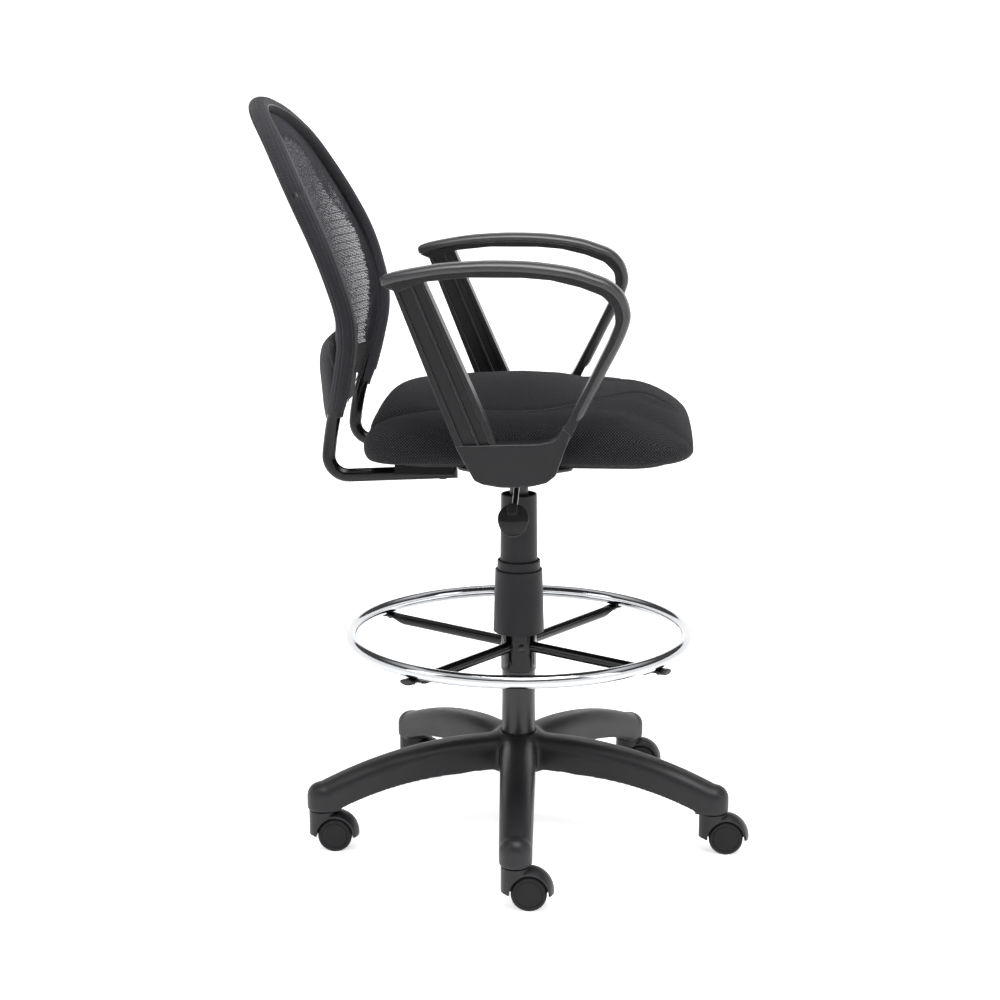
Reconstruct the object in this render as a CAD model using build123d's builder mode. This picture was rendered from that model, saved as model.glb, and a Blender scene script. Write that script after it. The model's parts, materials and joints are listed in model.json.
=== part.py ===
"""Drafting chair, in millimetres.

A five-leg moulded base on twin-wheel casters carries a tall gas lift with a telescopic cover
and a foot ring. The lift holds an upholstered seat with fixed loop arms, and a mesh back
stretched on one continuous bent tube.

Frame: origin on the floor under the column, +Z up, the sitter faces -Y, +X is the sitter's left.
"""
import os
from math import cos, radians, sin, tan

from build123d import *

os.makedirs("parts", exist_ok=True)

# ---- driving dimensions ---------------------------------------------------------------------
LEGS = 5
LEG_TURN = 182.05            # direction of the first leg, degrees from +X
STEM_CIRCLE_R = 303.0        # caster stems, from the column
SOCKET_R = 23.0              # leg-end socket
SOCKET_Z = 62.0              # underside of the socket
STEM_SOCKET_DEPTH = 36.0
LEG_ROOT_HALF = 27.0         # half width of a leg at the hub
LEG_ROOT_R = 30.0
LEG_WALL = 3.5
HUB_TOP_Z = 154.0
HUB_BOTTOM_Z = 97.0

WHEEL_R = 25.0
WHEEL_TRAIL = 19.0           # wheel axle ahead of the stem
WHEEL_IN, WHEEL_OUT = 3.0, 17.0   # inner and outer face, from the caster's middle
AXLE_R = 3.0
STEM_R = 5.5
RUNNING = 0.05               # radial clearance of a turning or sliding fit

TUBE_R = 25.0                # outer column tube
TUBE_TOP_Z = 400.0
CYLINDER_R = 14.0            # gas cylinder
CYLINDER_BOTTOM_Z = 112.0
CYLINDER_TOP_Z = 575.0
SOCKET_BOTTOM_Z = 532.0      # lower end of the taper that holds the cylinder
TAPER_TOP_R = 13.0
PISTON_R = 11.2
ROD_R = 5.0

RING_R = 250.7               # foot ring, centre line
RING_TUBE_R = 9.5
RING_Z = 307.0
SPOKE_R = 8.0
SPOKES = 4
SPOKE_TURN = -34.0
SLEEVE_BOTTOM_Z, SLEEVE_TOP_Z = 251.0, 311.0
SLEEVE_R = 27.0
RING_SCREW_R = 2.0

COVER_WALL = 1.8

PAN_Z = 597.0                # underside of the seat pan
PAN_T = 12.0
PLATE_T = 3.0
SEAT_HALF_W = 234.0
SEAT_FRONT, SEAT_REAR = 250.0, 203.0

LEVER_Y, LEVER_Z = -4.0, 587.3
LEVER_ROD_R = 4.0

ARM_X = 252.0                # middle plane of an arm
ARM_HALF_T = 16.5
PAD_HALF_W = 25.0
PAD_T = 7.0
BRACKET_IN, BRACKET_OUT = 239.0, 263.0

FRAME_TUBE_R = 9.5           # back tube
FRAME_TUBE_BORE = 7.7
SLEEVE_FABRIC_R = 11.2

# corners of the back tube on the sitter's left, from under the seat up to the crown
BACK_CORNERS = [
    (143, 82, 580), (143, 264, 571.5), (143, 256, 642), (172, 238, 704), (204, 222, 790),
    (227, 250, 886), (204, 292, 968), (152, 330, 1035), (95, 357, 1069), (32, 371, 1083),
]


# ---- helpers --------------------------------------------------------------------------------
def save(piece, name):
    """Label a finished piece and write its STEP file."""
    piece.label = name
    export_step(piece, f"parts/{name}.step")


def side_plane(x):
    """A plane across the chair at x: local x runs forward, local y runs up."""
    return Plane(origin=(x, 0, 0), x_dir=(0, -1, 0), z_dir=(-1, 0, 0))


def turned(profile):
    """A solid of revolution about the column axis from (radius, height) points."""
    with BuildPart() as solid:
        with BuildSketch(Plane.XZ):
            with BuildLine():
                Polyline(*profile, close=True)
            make_face()
        revolve(axis=Axis.Z)
    return solid.part


def bend_radii(corners):
    """The largest bend that each inner corner's two runs leave room for."""
    radii = []
    for before, corner, after in zip(corners, corners[1:], corners[2:]):
        run_in = Vector(*corner) - Vector(*before)
        run_out = Vector(*after) - Vector(*corner)
        half_turn = radians(run_in.get_angle(run_out)) / 2
        radii.append(0.45 * min(run_in.length, run_out.length) / tan(half_turn))
    return radii


# ---- base -----------------------------------------------------------------------------------
with BuildPart() as leg:
    with BuildSketch(Plane.XZ):
        with BuildLine():
            Polyline((STEM_CIRCLE_R, 102), (STEM_CIRCLE_R, SOCKET_Z), (281, SOCKET_Z), (281, 66))
            ThreePointArc((281, 66), (185, 94), (60, 100))
            Polyline((60, 100), (LEG_ROOT_R, 100), (LEG_ROOT_R, 151.5), (60, 151.5))
            ThreePointArc((60, 151.5), (185, 138.5), (STEM_CIRCLE_R, 102))
        make_face()
    extrude(amount=LEG_ROOT_HALF, both=True)
    with BuildSketch():
        with BuildLine():
            Polyline(
                (LEG_ROOT_R, -LEG_ROOT_HALF), (STEM_CIRCLE_R, -SOCKET_R),
                (STEM_CIRCLE_R, SOCKET_R), (LEG_ROOT_R, LEG_ROOT_HALF), close=True,
            )
        make_face()
    extrude(amount=HUB_TOP_Z, mode=Mode.INTERSECT)
    crest = leg.edges().filter_by(lambda e: e.center().Z > 105 and abs(e.center().Y) > 20)
    fillet(crest.filter_by(lambda e: e.length > 25 and abs(e.tangent_at(0.5).X) > 0.9), 19)
    with BuildSketch(Plane.XZ):
        with BuildLine():
            Polyline(
                (STEM_CIRCLE_R, 102), (STEM_CIRCLE_R, SOCKET_Z), (324.5, SOCKET_Z), (326, 65), (326, 83),
            )
            RadiusArc((326, 83), (307, 102), -19)
            Line((307, 102), (STEM_CIRCLE_R, 102))
        make_face()
    revolve(axis=Axis((STEM_CIRCLE_R, 0, 0), (0, 0, 1)))

RIBS = [105, 160, 215]
with BuildPart() as leg_channel:
    with BuildSketch(Plane.XZ):
        with BuildLine():
            Polyline((272, 108.5), (272, 50), (47, 50), (47, 147.5), (60, 147.5))
            ThreePointArc((60, 147.5), (180, 135.5), (272, 108.5))
        make_face()
    extrude(amount=LEG_ROOT_HALF - LEG_WALL, both=True)
    with BuildSketch():
        with BuildLine():
            Polyline(
                (40, LEG_WALL - LEG_ROOT_HALF), (280, LEG_WALL - SOCKET_R),
                (280, SOCKET_R - LEG_WALL), (40, LEG_ROOT_HALF - LEG_WALL), close=True,
            )
        make_face()
    extrude(amount=HUB_TOP_Z, mode=Mode.INTERSECT)
    crest = leg_channel.edges().filter_by(lambda e: e.center().Z > 108 and abs(e.center().Y) > 15)
    fillet(crest.filter_by(lambda e: e.length > 10 and abs(e.tangent_at(0.5).X) > 0.9), 15)
    for radius in RIBS:
        with Locations((radius, 0, 110)):
            Box(2.5, 60, 80, mode=Mode.SUBTRACT)

hub = turned([
    (0, HUB_BOTTOM_Z), (44, HUB_BOTTOM_Z), (44, 118), (40, 142), (37, 151), (33, HUB_TOP_Z), (0, HUB_TOP_Z),
])
hub_bore = turned([
    (0, 90), (24, 90), (24, 98), (TUBE_R, 150), (TUBE_R, 152), (26, HUB_TOP_Z), (26, 160), (0, 160),
])
with BuildPart() as base_star:
    add(hub)
    with PolarLocations(0, LEGS, start_angle=LEG_TURN):
        add(leg.part)
    with PolarLocations(0, LEGS, start_angle=LEG_TURN):
        add(leg_channel.part, mode=Mode.SUBTRACT)
    add(hub_bore, mode=Mode.SUBTRACT)
    with PolarLocations(STEM_CIRCLE_R, LEGS, start_angle=LEG_TURN):
        with Locations((0, 0, SOCKET_Z + STEM_SOCKET_DEPTH / 2)):
            Cylinder(STEM_R + RUNNING, STEM_SOCKET_DEPTH, mode=Mode.SUBTRACT)
save(base_star.part, "base_star")

# ---- gas lift -------------------------------------------------------------------------------
save(
    turned([
        (ROD_R + RUNNING, 92), (24, 92), (24, 98), (TUBE_R, 150), (TUBE_R, TUBE_TOP_Z), (23, TUBE_TOP_Z),
        (23, 150), (22, 98), (22, 97), (ROD_R + RUNNING, 97),
    ]),
    "column_tube",
)
save(
    turned([
        (CYLINDER_R + RUNNING, 255), (23, 255), (23, TUBE_TOP_Z), (TUBE_R, TUBE_TOP_Z), (TUBE_R, 403),
        (CYLINDER_R + RUNNING, 403),
    ]),
    "guide_bush",
)

PISTON_Z = 250.0
save(
    turned([
        (0, 86), (ROD_R, 86), (ROD_R, 104), (9, 104), (9, 107), (ROD_R, 107), (ROD_R, PISTON_Z),
        (PISTON_R - RUNNING, PISTON_Z), (PISTON_R - RUNNING, PISTON_Z + 12), (0, PISTON_Z + 12),
    ]),
    "piston_rod",
)
save(turned([(ROD_R, 88), (9.5, 88), (9.5, 91.4), (ROD_R, 91.4)]), "rod_clip")

BEARING_BORE_R, BEARING_R, WASHER_T, BALL_R = ROD_R + 0.1, 12.0, 2.0, 1.3
with BuildPart() as thrust_bearing:
    for washer_z in (97.2, 101.8):
        with Locations((0, 0, washer_z + WASHER_T / 2)):
            Cylinder(BEARING_R, WASHER_T)
            Cylinder(BEARING_BORE_R, WASHER_T, mode=Mode.SUBTRACT)
    with PolarLocations(8.6, 10):
        with Locations((0, 0, 100.5)):
            Sphere(BALL_R)
save(thrust_bearing.part, "thrust_bearing")

PIN_R = 3.0
save(
    turned([
        (ROD_R + RUNNING, CYLINDER_BOTTOM_Z), (13, CYLINDER_BOTTOM_Z), (CYLINDER_R, 113),
        (CYLINDER_R, SOCKET_BOTTOM_Z), (TAPER_TOP_R, CYLINDER_TOP_Z), (PIN_R + RUNNING, CYLINDER_TOP_Z),
        (PIN_R + RUNNING, 505), (PISTON_R, 505), (PISTON_R, 120), (ROD_R + RUNNING, 120),
    ]),
    "gas_cylinder",
)
save(turned([(0, 540), (PIN_R, 540), (PIN_R, 581.8), (2, 582.8), (0, 582.8)]), "release_pin")


# ---- telescopic cover -----------------------------------------------------------------------
def cover_section(bottom_z, bottom_r, top_z, top_r):
    """One tapered tube of the telescopic cover, with a rounded bead at its top rim."""
    with BuildPart() as section_tube:
        with BuildSketch(Plane.XZ):
            with BuildLine():
                Polyline(
                    (bottom_r - COVER_WALL, bottom_z), (bottom_r, bottom_z), (top_r, top_z),
                    (top_r - COVER_WALL, top_z), close=True,
                )
            make_face()
        revolve(axis=Axis.Z)
        rim = section_tube.edges().group_by(Axis.Z)[-1].sort_by(SortBy.LENGTH)[-1]
        fillet(rim, 1.2)
    return section_tube.part


lower_tube = cover_section(SLEEVE_TOP_Z, 38.0, 406, 35.2)
lower_floor = turned([
    (TUBE_R + 0.3, SLEEVE_TOP_Z), (37, SLEEVE_TOP_Z), (37, 313), (TUBE_R + 0.3, 313),
])
with BuildPart() as cover_lower:
    add(lower_tube)
    add(lower_floor)
save(cover_lower.part, "cover_lower")

save(cover_section(313.8, 32.8, 420, 32.0), "cover_middle")

upper_tube = cover_section(352, 28.6, 520, 26.6)
upper_web = turned([(CYLINDER_R, 510), (25.8, 510), (25.8, 512.5), (CYLINDER_R, 512.5)])
with BuildPart() as cover_upper:
    add(upper_tube)
    add(upper_web)
save(cover_upper.part, "cover_upper")

# ---- foot ring ------------------------------------------------------------------------------
SPOKE_Z = RING_Z - RING_TUBE_R - SPOKE_R
RING_WALL, SPOKE_WALL = 1.6, 1.5
with BuildPart() as foot_ring:
    with Locations((0, 0, RING_Z)):
        Torus(RING_R, RING_TUBE_R)
        Torus(RING_R, RING_TUBE_R - RING_WALL, mode=Mode.SUBTRACT)
    with PolarLocations(RING_R, SPOKES, start_angle=SPOKE_TURN):
        with Locations((0, 0, RING_Z - RING_TUBE_R)):
            Cylinder(RING_SCREW_R, 8, mode=Mode.SUBTRACT)
save(foot_ring.part, "foot_ring")

SPOKE_END_R = 258.0
PLUG_DEPTH = 4.0
SET_SCREW_R = 3.0
SET_SCREW_TURN = -169.0
with BuildPart() as spoke:
    with BuildSketch(Plane.YZ.offset(24)):
        with Locations((0, SPOKE_Z)):
            Circle(SPOKE_R)
    extrude(amount=SPOKE_END_R - 24)
with BuildPart() as spoke_bore:
    with BuildSketch(Plane.YZ.offset(SLEEVE_R)):
        with Locations((0, SPOKE_Z)):
            Circle(SPOKE_R - SPOKE_WALL)
    extrude(amount=SPOKE_END_R - SLEEVE_R)
spider_sleeve = turned([
    (0, SLEEVE_BOTTOM_Z), (26, SLEEVE_BOTTOM_Z), (SLEEVE_R, SLEEVE_BOTTOM_Z + 1.5),
    (SLEEVE_R, SLEEVE_TOP_Z), (0, SLEEVE_TOP_Z),
])
with BuildPart() as foot_ring_spider:
    add(spider_sleeve)
    with PolarLocations(0, SPOKES, start_angle=SPOKE_TURN):
        add(spoke.part)
    with PolarLocations(0, SPOKES, start_angle=SPOKE_TURN):
        add(spoke_bore.part, mode=Mode.SUBTRACT)
    with PolarLocations(RING_R, SPOKES, start_angle=SPOKE_TURN):
        with Locations((0, 0, SPOKE_Z)):
            Cylinder(RING_SCREW_R, 30, mode=Mode.SUBTRACT)
    with Locations((0, 0, 280)):
        Cylinder(TUBE_R, 100, mode=Mode.SUBTRACT)
    with BuildSketch(Plane.YZ.rotated((0, 0, SET_SCREW_TURN))):
        with Locations((0, SPOKE_Z)):
            Circle(SET_SCREW_R)
    extrude(amount=40, mode=Mode.SUBTRACT)
save(foot_ring_spider.part, "foot_ring_spider")

with BuildPart() as end_cap:
    with BuildSketch(Plane.YZ.offset(SPOKE_END_R - PLUG_DEPTH)):
        with Locations((0, SPOKE_Z)):
            Circle(SPOKE_R - SPOKE_WALL)
    extrude(amount=PLUG_DEPTH)
    with BuildSketch(Plane.YZ.offset(SPOKE_END_R)):
        with Locations((0, SPOKE_Z)):
            Circle(SPOKE_R + 0.6)
    extrude(amount=7)
    fillet(end_cap.edges().group_by(Axis.X)[-1], 3)
with BuildPart() as foot_ring_end_caps:
    with PolarLocations(0, SPOKES, start_angle=SPOKE_TURN):
        add(end_cap.part)
save(foot_ring_end_caps.part, "foot_ring_end_caps")

HEAD_Z = SPOKE_Z - SPOKE_R
ring_screw = turned([
    (0, HEAD_Z - 3), (4.4, HEAD_Z - 2), (4.4, HEAD_Z), (RING_SCREW_R, HEAD_Z), (RING_SCREW_R, RING_Z - 7),
    (0, RING_Z - 7),
])
with BuildPart() as set_screw:
    with BuildSketch(Plane.YZ.offset(TUBE_R)):
        with Locations((0, SPOKE_Z)):
            Circle(SET_SCREW_R)
    extrude(amount=3)
    with BuildSketch(Plane.YZ.offset(TUBE_R + 2.3)):
        with Locations((0, SPOKE_Z)):
            RegularPolygon(5.5, 6)
    extrude(amount=4)
with BuildPart() as foot_ring_screws:
    with PolarLocations(RING_R, SPOKES, start_angle=SPOKE_TURN):
        add(ring_screw)
    with PolarLocations(0, 1, start_angle=SET_SCREW_TURN):
        add(set_screw.part)
save(foot_ring_screws.part, "foot_ring_screws")

# ---- seat plate, pan and cushion ------------------------------------------------------------
PLATE_HALF_X, PLATE_HALF_Y = 85.0, 105.0
FLANGE_H = 12.0
PLATE_BOLTS = [(x, y) for x in (-70, 70) for y in (-90, 90)]
ARM_BOLTS = [(x, y) for x in (-176, 176) for y in (-58, 0, 58)]
BACK_BOLTS = [(x, y) for x in (-143, 143) for y in (100, 150)]
BOLT_R, BOLT_HEAD_R = 3.5, 6.5

# the bowl under the plate, round the tapered socket that takes the gas cylinder
bowl = turned([
    (CYLINDER_R, SOCKET_BOTTOM_Z), (18, SOCKET_BOTTOM_Z), (25, 536), (29.5, 544), (31, 556), (31, 595),
    (28, 595), (28, 568), (19, 560), (19, CYLINDER_TOP_Z), (TAPER_TOP_R, CYLINDER_TOP_Z),
])
with BuildPart() as seat_plate:
    add(bowl)
    with Locations((0, 0, PAN_Z - PLATE_T / 2)):
        Box(2 * PLATE_HALF_X, 2 * PLATE_HALF_Y, PLATE_T)
    for side in (-1, 1):
        with Locations((side * (PLATE_HALF_X - PLATE_T / 2), 0, PAN_Z - FLANGE_H / 2)):
            Box(PLATE_T, 2 * PLATE_HALF_Y - 30, FLANGE_H)
    with BuildSketch(Plane.YZ):
        with Locations((LEVER_Y, LEVER_Z)):
            SlotCenterToCenter(4, 2 * LEVER_ROD_R + 4, rotation=90)
    extrude(amount=-100, mode=Mode.SUBTRACT)
    with Locations(*[(x, y, PAN_Z) for x, y in PLATE_BOLTS]):
        Cylinder(BOLT_R + 0.1, 20, mode=Mode.SUBTRACT)
save(seat_plate.part, "seat_plate")

with BuildPart() as seat_pan:
    with BuildSketch(Plane.XY.offset(PAN_Z)):
        with Locations((0, -20)):
            RectangleRounded(400, 390, 60)
    extrude(amount=PAN_T)
    with Locations(*[(x, y, PAN_Z) for x, y in PLATE_BOLTS + ARM_BOLTS + BACK_BOLTS]):
        Cylinder(BOLT_R + 0.1, 20, mode=Mode.SUBTRACT)
save(seat_pan.part, "seat_pan")

CUSHION_Z = PAN_Z + PAN_T
SIDE_TOP_Z = 672.0           # the cushion's top at its left and right edge
with BuildPart() as seat_cushion:
    with BuildSketch(side_plane(0)):
        with BuildLine():
            Polyline((228, CUSHION_Z), (-196, CUSHION_Z), (-201, 624))
            Spline(
                (-201, 624), (-190, 655), (-150, 677), (-59, 697), (60, 704), (158, 695), (225, 668),
                (249, 640),
            )
            Spline((249, 640), (243, 622), (228, CUSHION_Z))
        make_face()
    extrude(amount=SEAT_HALF_W, both=True)
    with BuildSketch(Plane.XY.offset(CUSHION_Z)):
        with Locations((0, (SEAT_REAR - SEAT_FRONT) / 2)):
            RectangleRounded(2 * SEAT_HALF_W, SEAT_FRONT + SEAT_REAR, 85)
    extrude(amount=100, mode=Mode.INTERSECT)
    with BuildSketch(Plane.XZ):
        with BuildLine():
            Polyline(
                (-SEAT_HALF_W, SIDE_TOP_Z), (-SEAT_HALF_W, CUSHION_Z), (SEAT_HALF_W, CUSHION_Z),
                (SEAT_HALF_W, SIDE_TOP_Z),
            )
            ThreePointArc((SEAT_HALF_W, SIDE_TOP_Z), (0, 705), (-SEAT_HALF_W, SIDE_TOP_Z))
        make_face()
    extrude(amount=300, both=True, mode=Mode.INTERSECT)
save(seat_cushion.part, "seat_cushion")


def bolts(places, seat_z, length):
    """Button-head bolts that stand up from seat_z into the pan, one solid each."""
    with BuildPart() as group:
        with Locations(*[(x, y, seat_z) for x, y in places]):
            Cylinder(BOLT_R, length, align=(Align.CENTER, Align.CENTER, Align.MIN))
            Cylinder(BOLT_HEAD_R, 4.5, align=(Align.CENTER, Align.CENTER, Align.MAX))
        fillet(group.edges().group_by(Axis.Z)[0], 2.5)
    return group.part


save(bolts(PLATE_BOLTS, PAN_Z - PLATE_T, PLATE_T + 10), "seat_plate_bolts")

# ---- lift lever -----------------------------------------------------------------------------
LEVER_ROUTE = [(2, LEVER_Y, LEVER_Z), (-52, LEVER_Y, LEVER_Z), (-204, LEVER_Y, 543.5)]
with BuildPart() as lever_rod:
    with BuildLine() as lever_line:
        FilletPolyline(*LEVER_ROUTE, radius=40)
    with BuildSketch(Plane(origin=LEVER_ROUTE[0], z_dir=(-1, 0, 0))):
        Circle(LEVER_ROD_R)
    sweep()
save(lever_rod.part, "lever_rod")

PADDLE_TILT = 48.0
PADDLE_CENTRE = (-214.5, -2.5, 529.0)
paddle_plane = Plane(
    origin=PADDLE_CENTRE, x_dir=(0, -1, 0), z_dir=(-sin(radians(PADDLE_TILT)), 0, cos(radians(PADDLE_TILT))),
)
with BuildPart() as lever_paddle:
    with BuildSketch(paddle_plane.offset(-2.5)):
        Ellipse(21.5, 23)
    extrude(amount=5)
    fillet(lever_paddle.edges(), 2)
    with BuildSketch(paddle_plane.offset(1)):
        with Locations((-1.5, 13)):
            RectangleRounded(13, 16, 3)
    extrude(amount=6)
    with BuildLine():
        Line(LEVER_ROUTE[1], LEVER_ROUTE[2])
    with BuildSketch(Plane(origin=LEVER_ROUTE[1], z_dir=Vector(*LEVER_ROUTE[2]) - Vector(*LEVER_ROUTE[1]))):
        Circle(LEVER_ROD_R)
    sweep(mode=Mode.SUBTRACT)
save(lever_paddle.part, "lever_paddle")

# ---- arms -----------------------------------------------------------------------------------
# the outer line of the arm seen from the side, from the rear tip over the top to the front strut
ARM_TOP = [(-173, 853), (-98, 876.5), (-10, 882.5), (79, 874), (129, 859), (155, 835), (158, 803), (131, 741)]
ARM_FOCUS = (0, 700)
ARM_FLANGE_T = 5.0


def inset(points, amount):
    """The same line moved towards the middle of the loop."""
    moved = []
    for x, z in points:
        towards = Vector(ARM_FOCUS[0] - x, ARM_FOCUS[1] - z).normalized() * amount
        moved.append((x + towards.X, z + towards.Y))
    return moved


def arm_frame(side):
    """One moulded loop with its bracket and the flange under the seat pan; side is 1 or -1."""
    frame_top = inset(ARM_TOP, PAD_T)
    with BuildPart() as frame:
        with BuildSketch(side_plane(side * ARM_X)):
            with BuildLine():
                Spline(*frame_top)
                Polyline(frame_top[-1], (90, 655), (66, 600), (50, 590))
                ThreePointArc((50, 590), (5, 581), (-43, 586))
                Polyline((-43, 586), (-70, 633), (-155, 838), frame_top[0])
            make_face()
            with BuildLine():
                Spline((-113, 856), (-22, 864), (92, 852), (131, 835), (139, 803), (122, 760))
                Polyline((122, 760), (80, 669), (55, 645), (-17, 640), (-113, 856))
            make_face(mode=Mode.SUBTRACT)
        extrude(amount=ARM_HALF_T, both=True)
        # the bracket below the loop is thinner than the struts
        for x in (side * (BRACKET_OUT + 20), side * (BRACKET_IN - 20)):
            with Locations((x, 0, 590)):
                Box(40, 400, 104, mode=Mode.SUBTRACT)
        # two flutes run down each face of the rear strut
        for x in (side * ARM_X - ARM_HALF_T, side * ARM_X + ARM_HALF_T):
            with BuildSketch(side_plane(x)):
                with BuildLine():
                    Polyline((-146, 838), (-64, 648), (-52, 648), (-132, 838), close=True)
                make_face()
                with BuildLine():
                    Polyline((-125, 838), (-44, 648), (-31, 648), (-111, 838), close=True)
                make_face()
            extrude(amount=3, both=True, mode=Mode.SUBTRACT)
        with Locations((side * 196, -4, PAN_Z - ARM_FLANGE_T / 2)):
            Box(92, 158, ARM_FLANGE_T)
        with Locations(*[(x, y, PAN_Z) for x, y in ARM_BOLTS]):
            Cylinder(BOLT_R + 0.1, 20, mode=Mode.SUBTRACT)
    return frame.part


def arm_pad(side):
    """The soft-touch pad over the top of the loop, from the rear tip round the front bend."""
    under = inset(ARM_TOP, PAD_T)
    with BuildPart() as pad:
        with BuildSketch(side_plane(side * ARM_X)):
            with BuildLine():
                Spline(*ARM_TOP)
                Line(ARM_TOP[-1], under[-1])
                Spline(*under)
                Line(under[0], ARM_TOP[0])
            make_face()
        extrude(amount=PAD_HALF_W, both=True)
        # the pad narrows towards the front strut
        with BuildSketch(Plane.XY.offset(700)):
            with Locations((side * ARM_X, 0)):
                Polygon((-23, 200), (-25, 20), (-19, -200), (19, -200), (25, 20), (23, 200), align=None)
        extrude(amount=200, mode=Mode.INTERSECT)
    return pad.part


for side_name, side_sign in (("left", 1), ("right", -1)):
    save(arm_frame(side_sign), f"arm_frame_{side_name}")
    save(arm_pad(side_sign), f"arm_pad_{side_name}")
save(bolts(ARM_BOLTS, PAN_Z - ARM_FLANGE_T, ARM_FLANGE_T + 10), "arm_bolts")

# ---- back tube ------------------------------------------------------------------------------
mirrored_corners = [(-x, y, z) for x, y, z in reversed(BACK_CORNERS)]
tube_corners = BACK_CORNERS + mirrored_corners
tube_radii = bend_radii(tube_corners)
with BuildPart() as back_frame:
    with BuildLine() as tube_line:
        FilletPolyline(*tube_corners, radius=tube_radii)
    with BuildSketch(Plane(origin=tube_line.line @ 0, z_dir=tube_line.line % 0)):
        Circle(FRAME_TUBE_R)
        Circle(FRAME_TUBE_BORE, mode=Mode.SUBTRACT)
    sweep()
    with Locations(*[(x, y, 575) for x, y in BACK_BOLTS]):
        Cylinder(BOLT_R + 0.1, 40, mode=Mode.SUBTRACT)
save(back_frame.part, "back_frame")

foot, heel = Vector(*BACK_CORNERS[0]), Vector(*BACK_CORNERS[1])
along = (heel - foot).normalized()


def leg_rod(x_sign, start, length, radius):
    """A round bar on the straight part of one tube leg."""
    origin = foot + along * start
    axis_plane = Plane(origin=(x_sign * origin.X, origin.Y, origin.Z), z_dir=(0, along.Y, along.Z))
    with BuildPart() as bar:
        with BuildSketch(axis_plane):
            Circle(radius)
        extrude(amount=length)
    return bar.part


with BuildPart() as back_tube_plugs:
    for x_sign in (-1, 1):
        add(leg_rod(x_sign, -2.5, 2.5, FRAME_TUBE_R))
        add(leg_rod(x_sign, 0, 12, FRAME_TUBE_BORE))
save(back_tube_plugs.part, "back_tube_plugs")

with BuildPart() as back_saddles:
    with Locations((-143, 125, PAN_Z), (143, 125, PAN_Z)):
        Box(34, 84, 20, align=(Align.CENTER, Align.CENTER, Align.MAX))
    for x_sign in (-1, 1):
        add(leg_rod(x_sign, -20, 160, FRAME_TUBE_R), mode=Mode.SUBTRACT)
    with Locations(*[(x, y, 585) for x, y in BACK_BOLTS]):
        Cylinder(BOLT_R + 0.1, 40, mode=Mode.SUBTRACT)
save(back_saddles.part, "back_saddles")
save(bolts(BACK_BOLTS, 566.4, 40.6), "back_bolts")

# ---- back upholstery ------------------------------------------------------------------------
HEM_SHARE = 0.32             # the sleeve's hem, along the tube's third run
hem = [BACK_CORNERS[2][i] + HEM_SHARE * (BACK_CORNERS[3][i] - BACK_CORNERS[2][i]) for i in range(3)]
sleeve_half = [tuple(hem)] + BACK_CORNERS[3:]
sleeve_corners = sleeve_half + [(-x, y, z) for x, y, z in reversed(sleeve_half)]
with BuildPart() as back_border:
    with BuildLine() as sleeve_line:
        FilletPolyline(*sleeve_corners, radius=tube_radii[2:-2])
    with BuildSketch(Plane(origin=sleeve_line.line @ 0, z_dir=sleeve_line.line % 0)):
        Circle(SLEEVE_FABRIC_R)
        Circle(FRAME_TUBE_R + 0.6, mode=Mode.SUBTRACT)
    sweep()
save(back_border.part, "back_border")


def back_sheet(side_line, thickness, outline):
    """A sheet that follows side_line (forward, up) across the back, cut to an outline (x, z)."""
    with BuildPart() as sheet:
        with BuildSketch(side_plane(0)):
            with BuildLine():
                Spline(*side_line)
                rear_line = [(x - thickness, z) for x, z in side_line]
                Spline(*rear_line)
                Line(side_line[0], rear_line[0])
                Line(side_line[-1], rear_line[-1])
            make_face()
        extrude(amount=230, both=True)
        with BuildSketch(Plane.XZ):
            with BuildLine():
                Polyline(*outline, *[(-x, z) for x, z in reversed(outline)], close=True)
            make_face()
        extrude(amount=500, both=True, mode=Mode.INTERSECT)
    return sheet.part


# the mesh ends a little inside the tube all round, and on a straight seam at the bottom
MESH_BOTTOM_Z, MESH_MIDDLE_Z, MESH_INSET = 742.0, 880.0, 16.0
mesh_outline = [(170, MESH_BOTTOM_Z)]
for x, _, z in BACK_CORNERS[4:]:
    inward = Vector(-x, MESH_MIDDLE_Z - z).normalized() * MESH_INSET
    mesh_outline.append((x + inward.X, z + inward.Y))
save(
    back_sheet(
        [(-227, 735), (-224, 785), (-230, 835), (-250, 885), (-289, 960), (-330, 1035), (-362, 1080)], 3,
        mesh_outline,
    ),
    "back_mesh",
)
save(
    back_sheet([(-250, 640), (-240, 690), (-225, 745)], 4, [(134, 655), (146, 690), (172, 741)]),
    "back_lower_panel",
)

with BuildPart() as lumbar_pad:
    with BuildSketch(side_plane(0)):
        with BuildLine():
            Polyline((-281, 640), (-256, 640), (-246, 690), (-230.5, 745), (-232, 757), (-262, 757))
            Spline((-262, 757), (-283, 742), (-288, 718), (-284, 680), (-281, 640))
        make_face()
    extrude(amount=126, both=True)
    with BuildSketch(Plane.XY.offset(600)):
        with BuildLine():
            Polyline((-126, 258), (-126, 200), (126, 200), (126, 258))
            ThreePointArc((126, 258), (0, 289), (-126, 258))
        make_face()
    extrude(amount=200, mode=Mode.INTERSECT)
save(lumbar_pad.part, "lumbar_pad")

# ---- casters --------------------------------------------------------------------------------
# built once about the stem axis, wheels trailing towards -Y, then copied to each leg
WHEEL_AXIS = Axis((0, -WHEEL_TRAIL, WHEEL_R), (1, 0, 0))
wheel_plane = Plane(origin=(0, -WHEEL_TRAIL, WHEEL_R), x_dir=(1, 0, 0), z_dir=(0, -1, 0))
CAVITY_R = 27.0
WEB_HALF = 2.4
HOOD_TOP_Z = 60.5
STEM_BOTTOM_Z = 50.0

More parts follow.
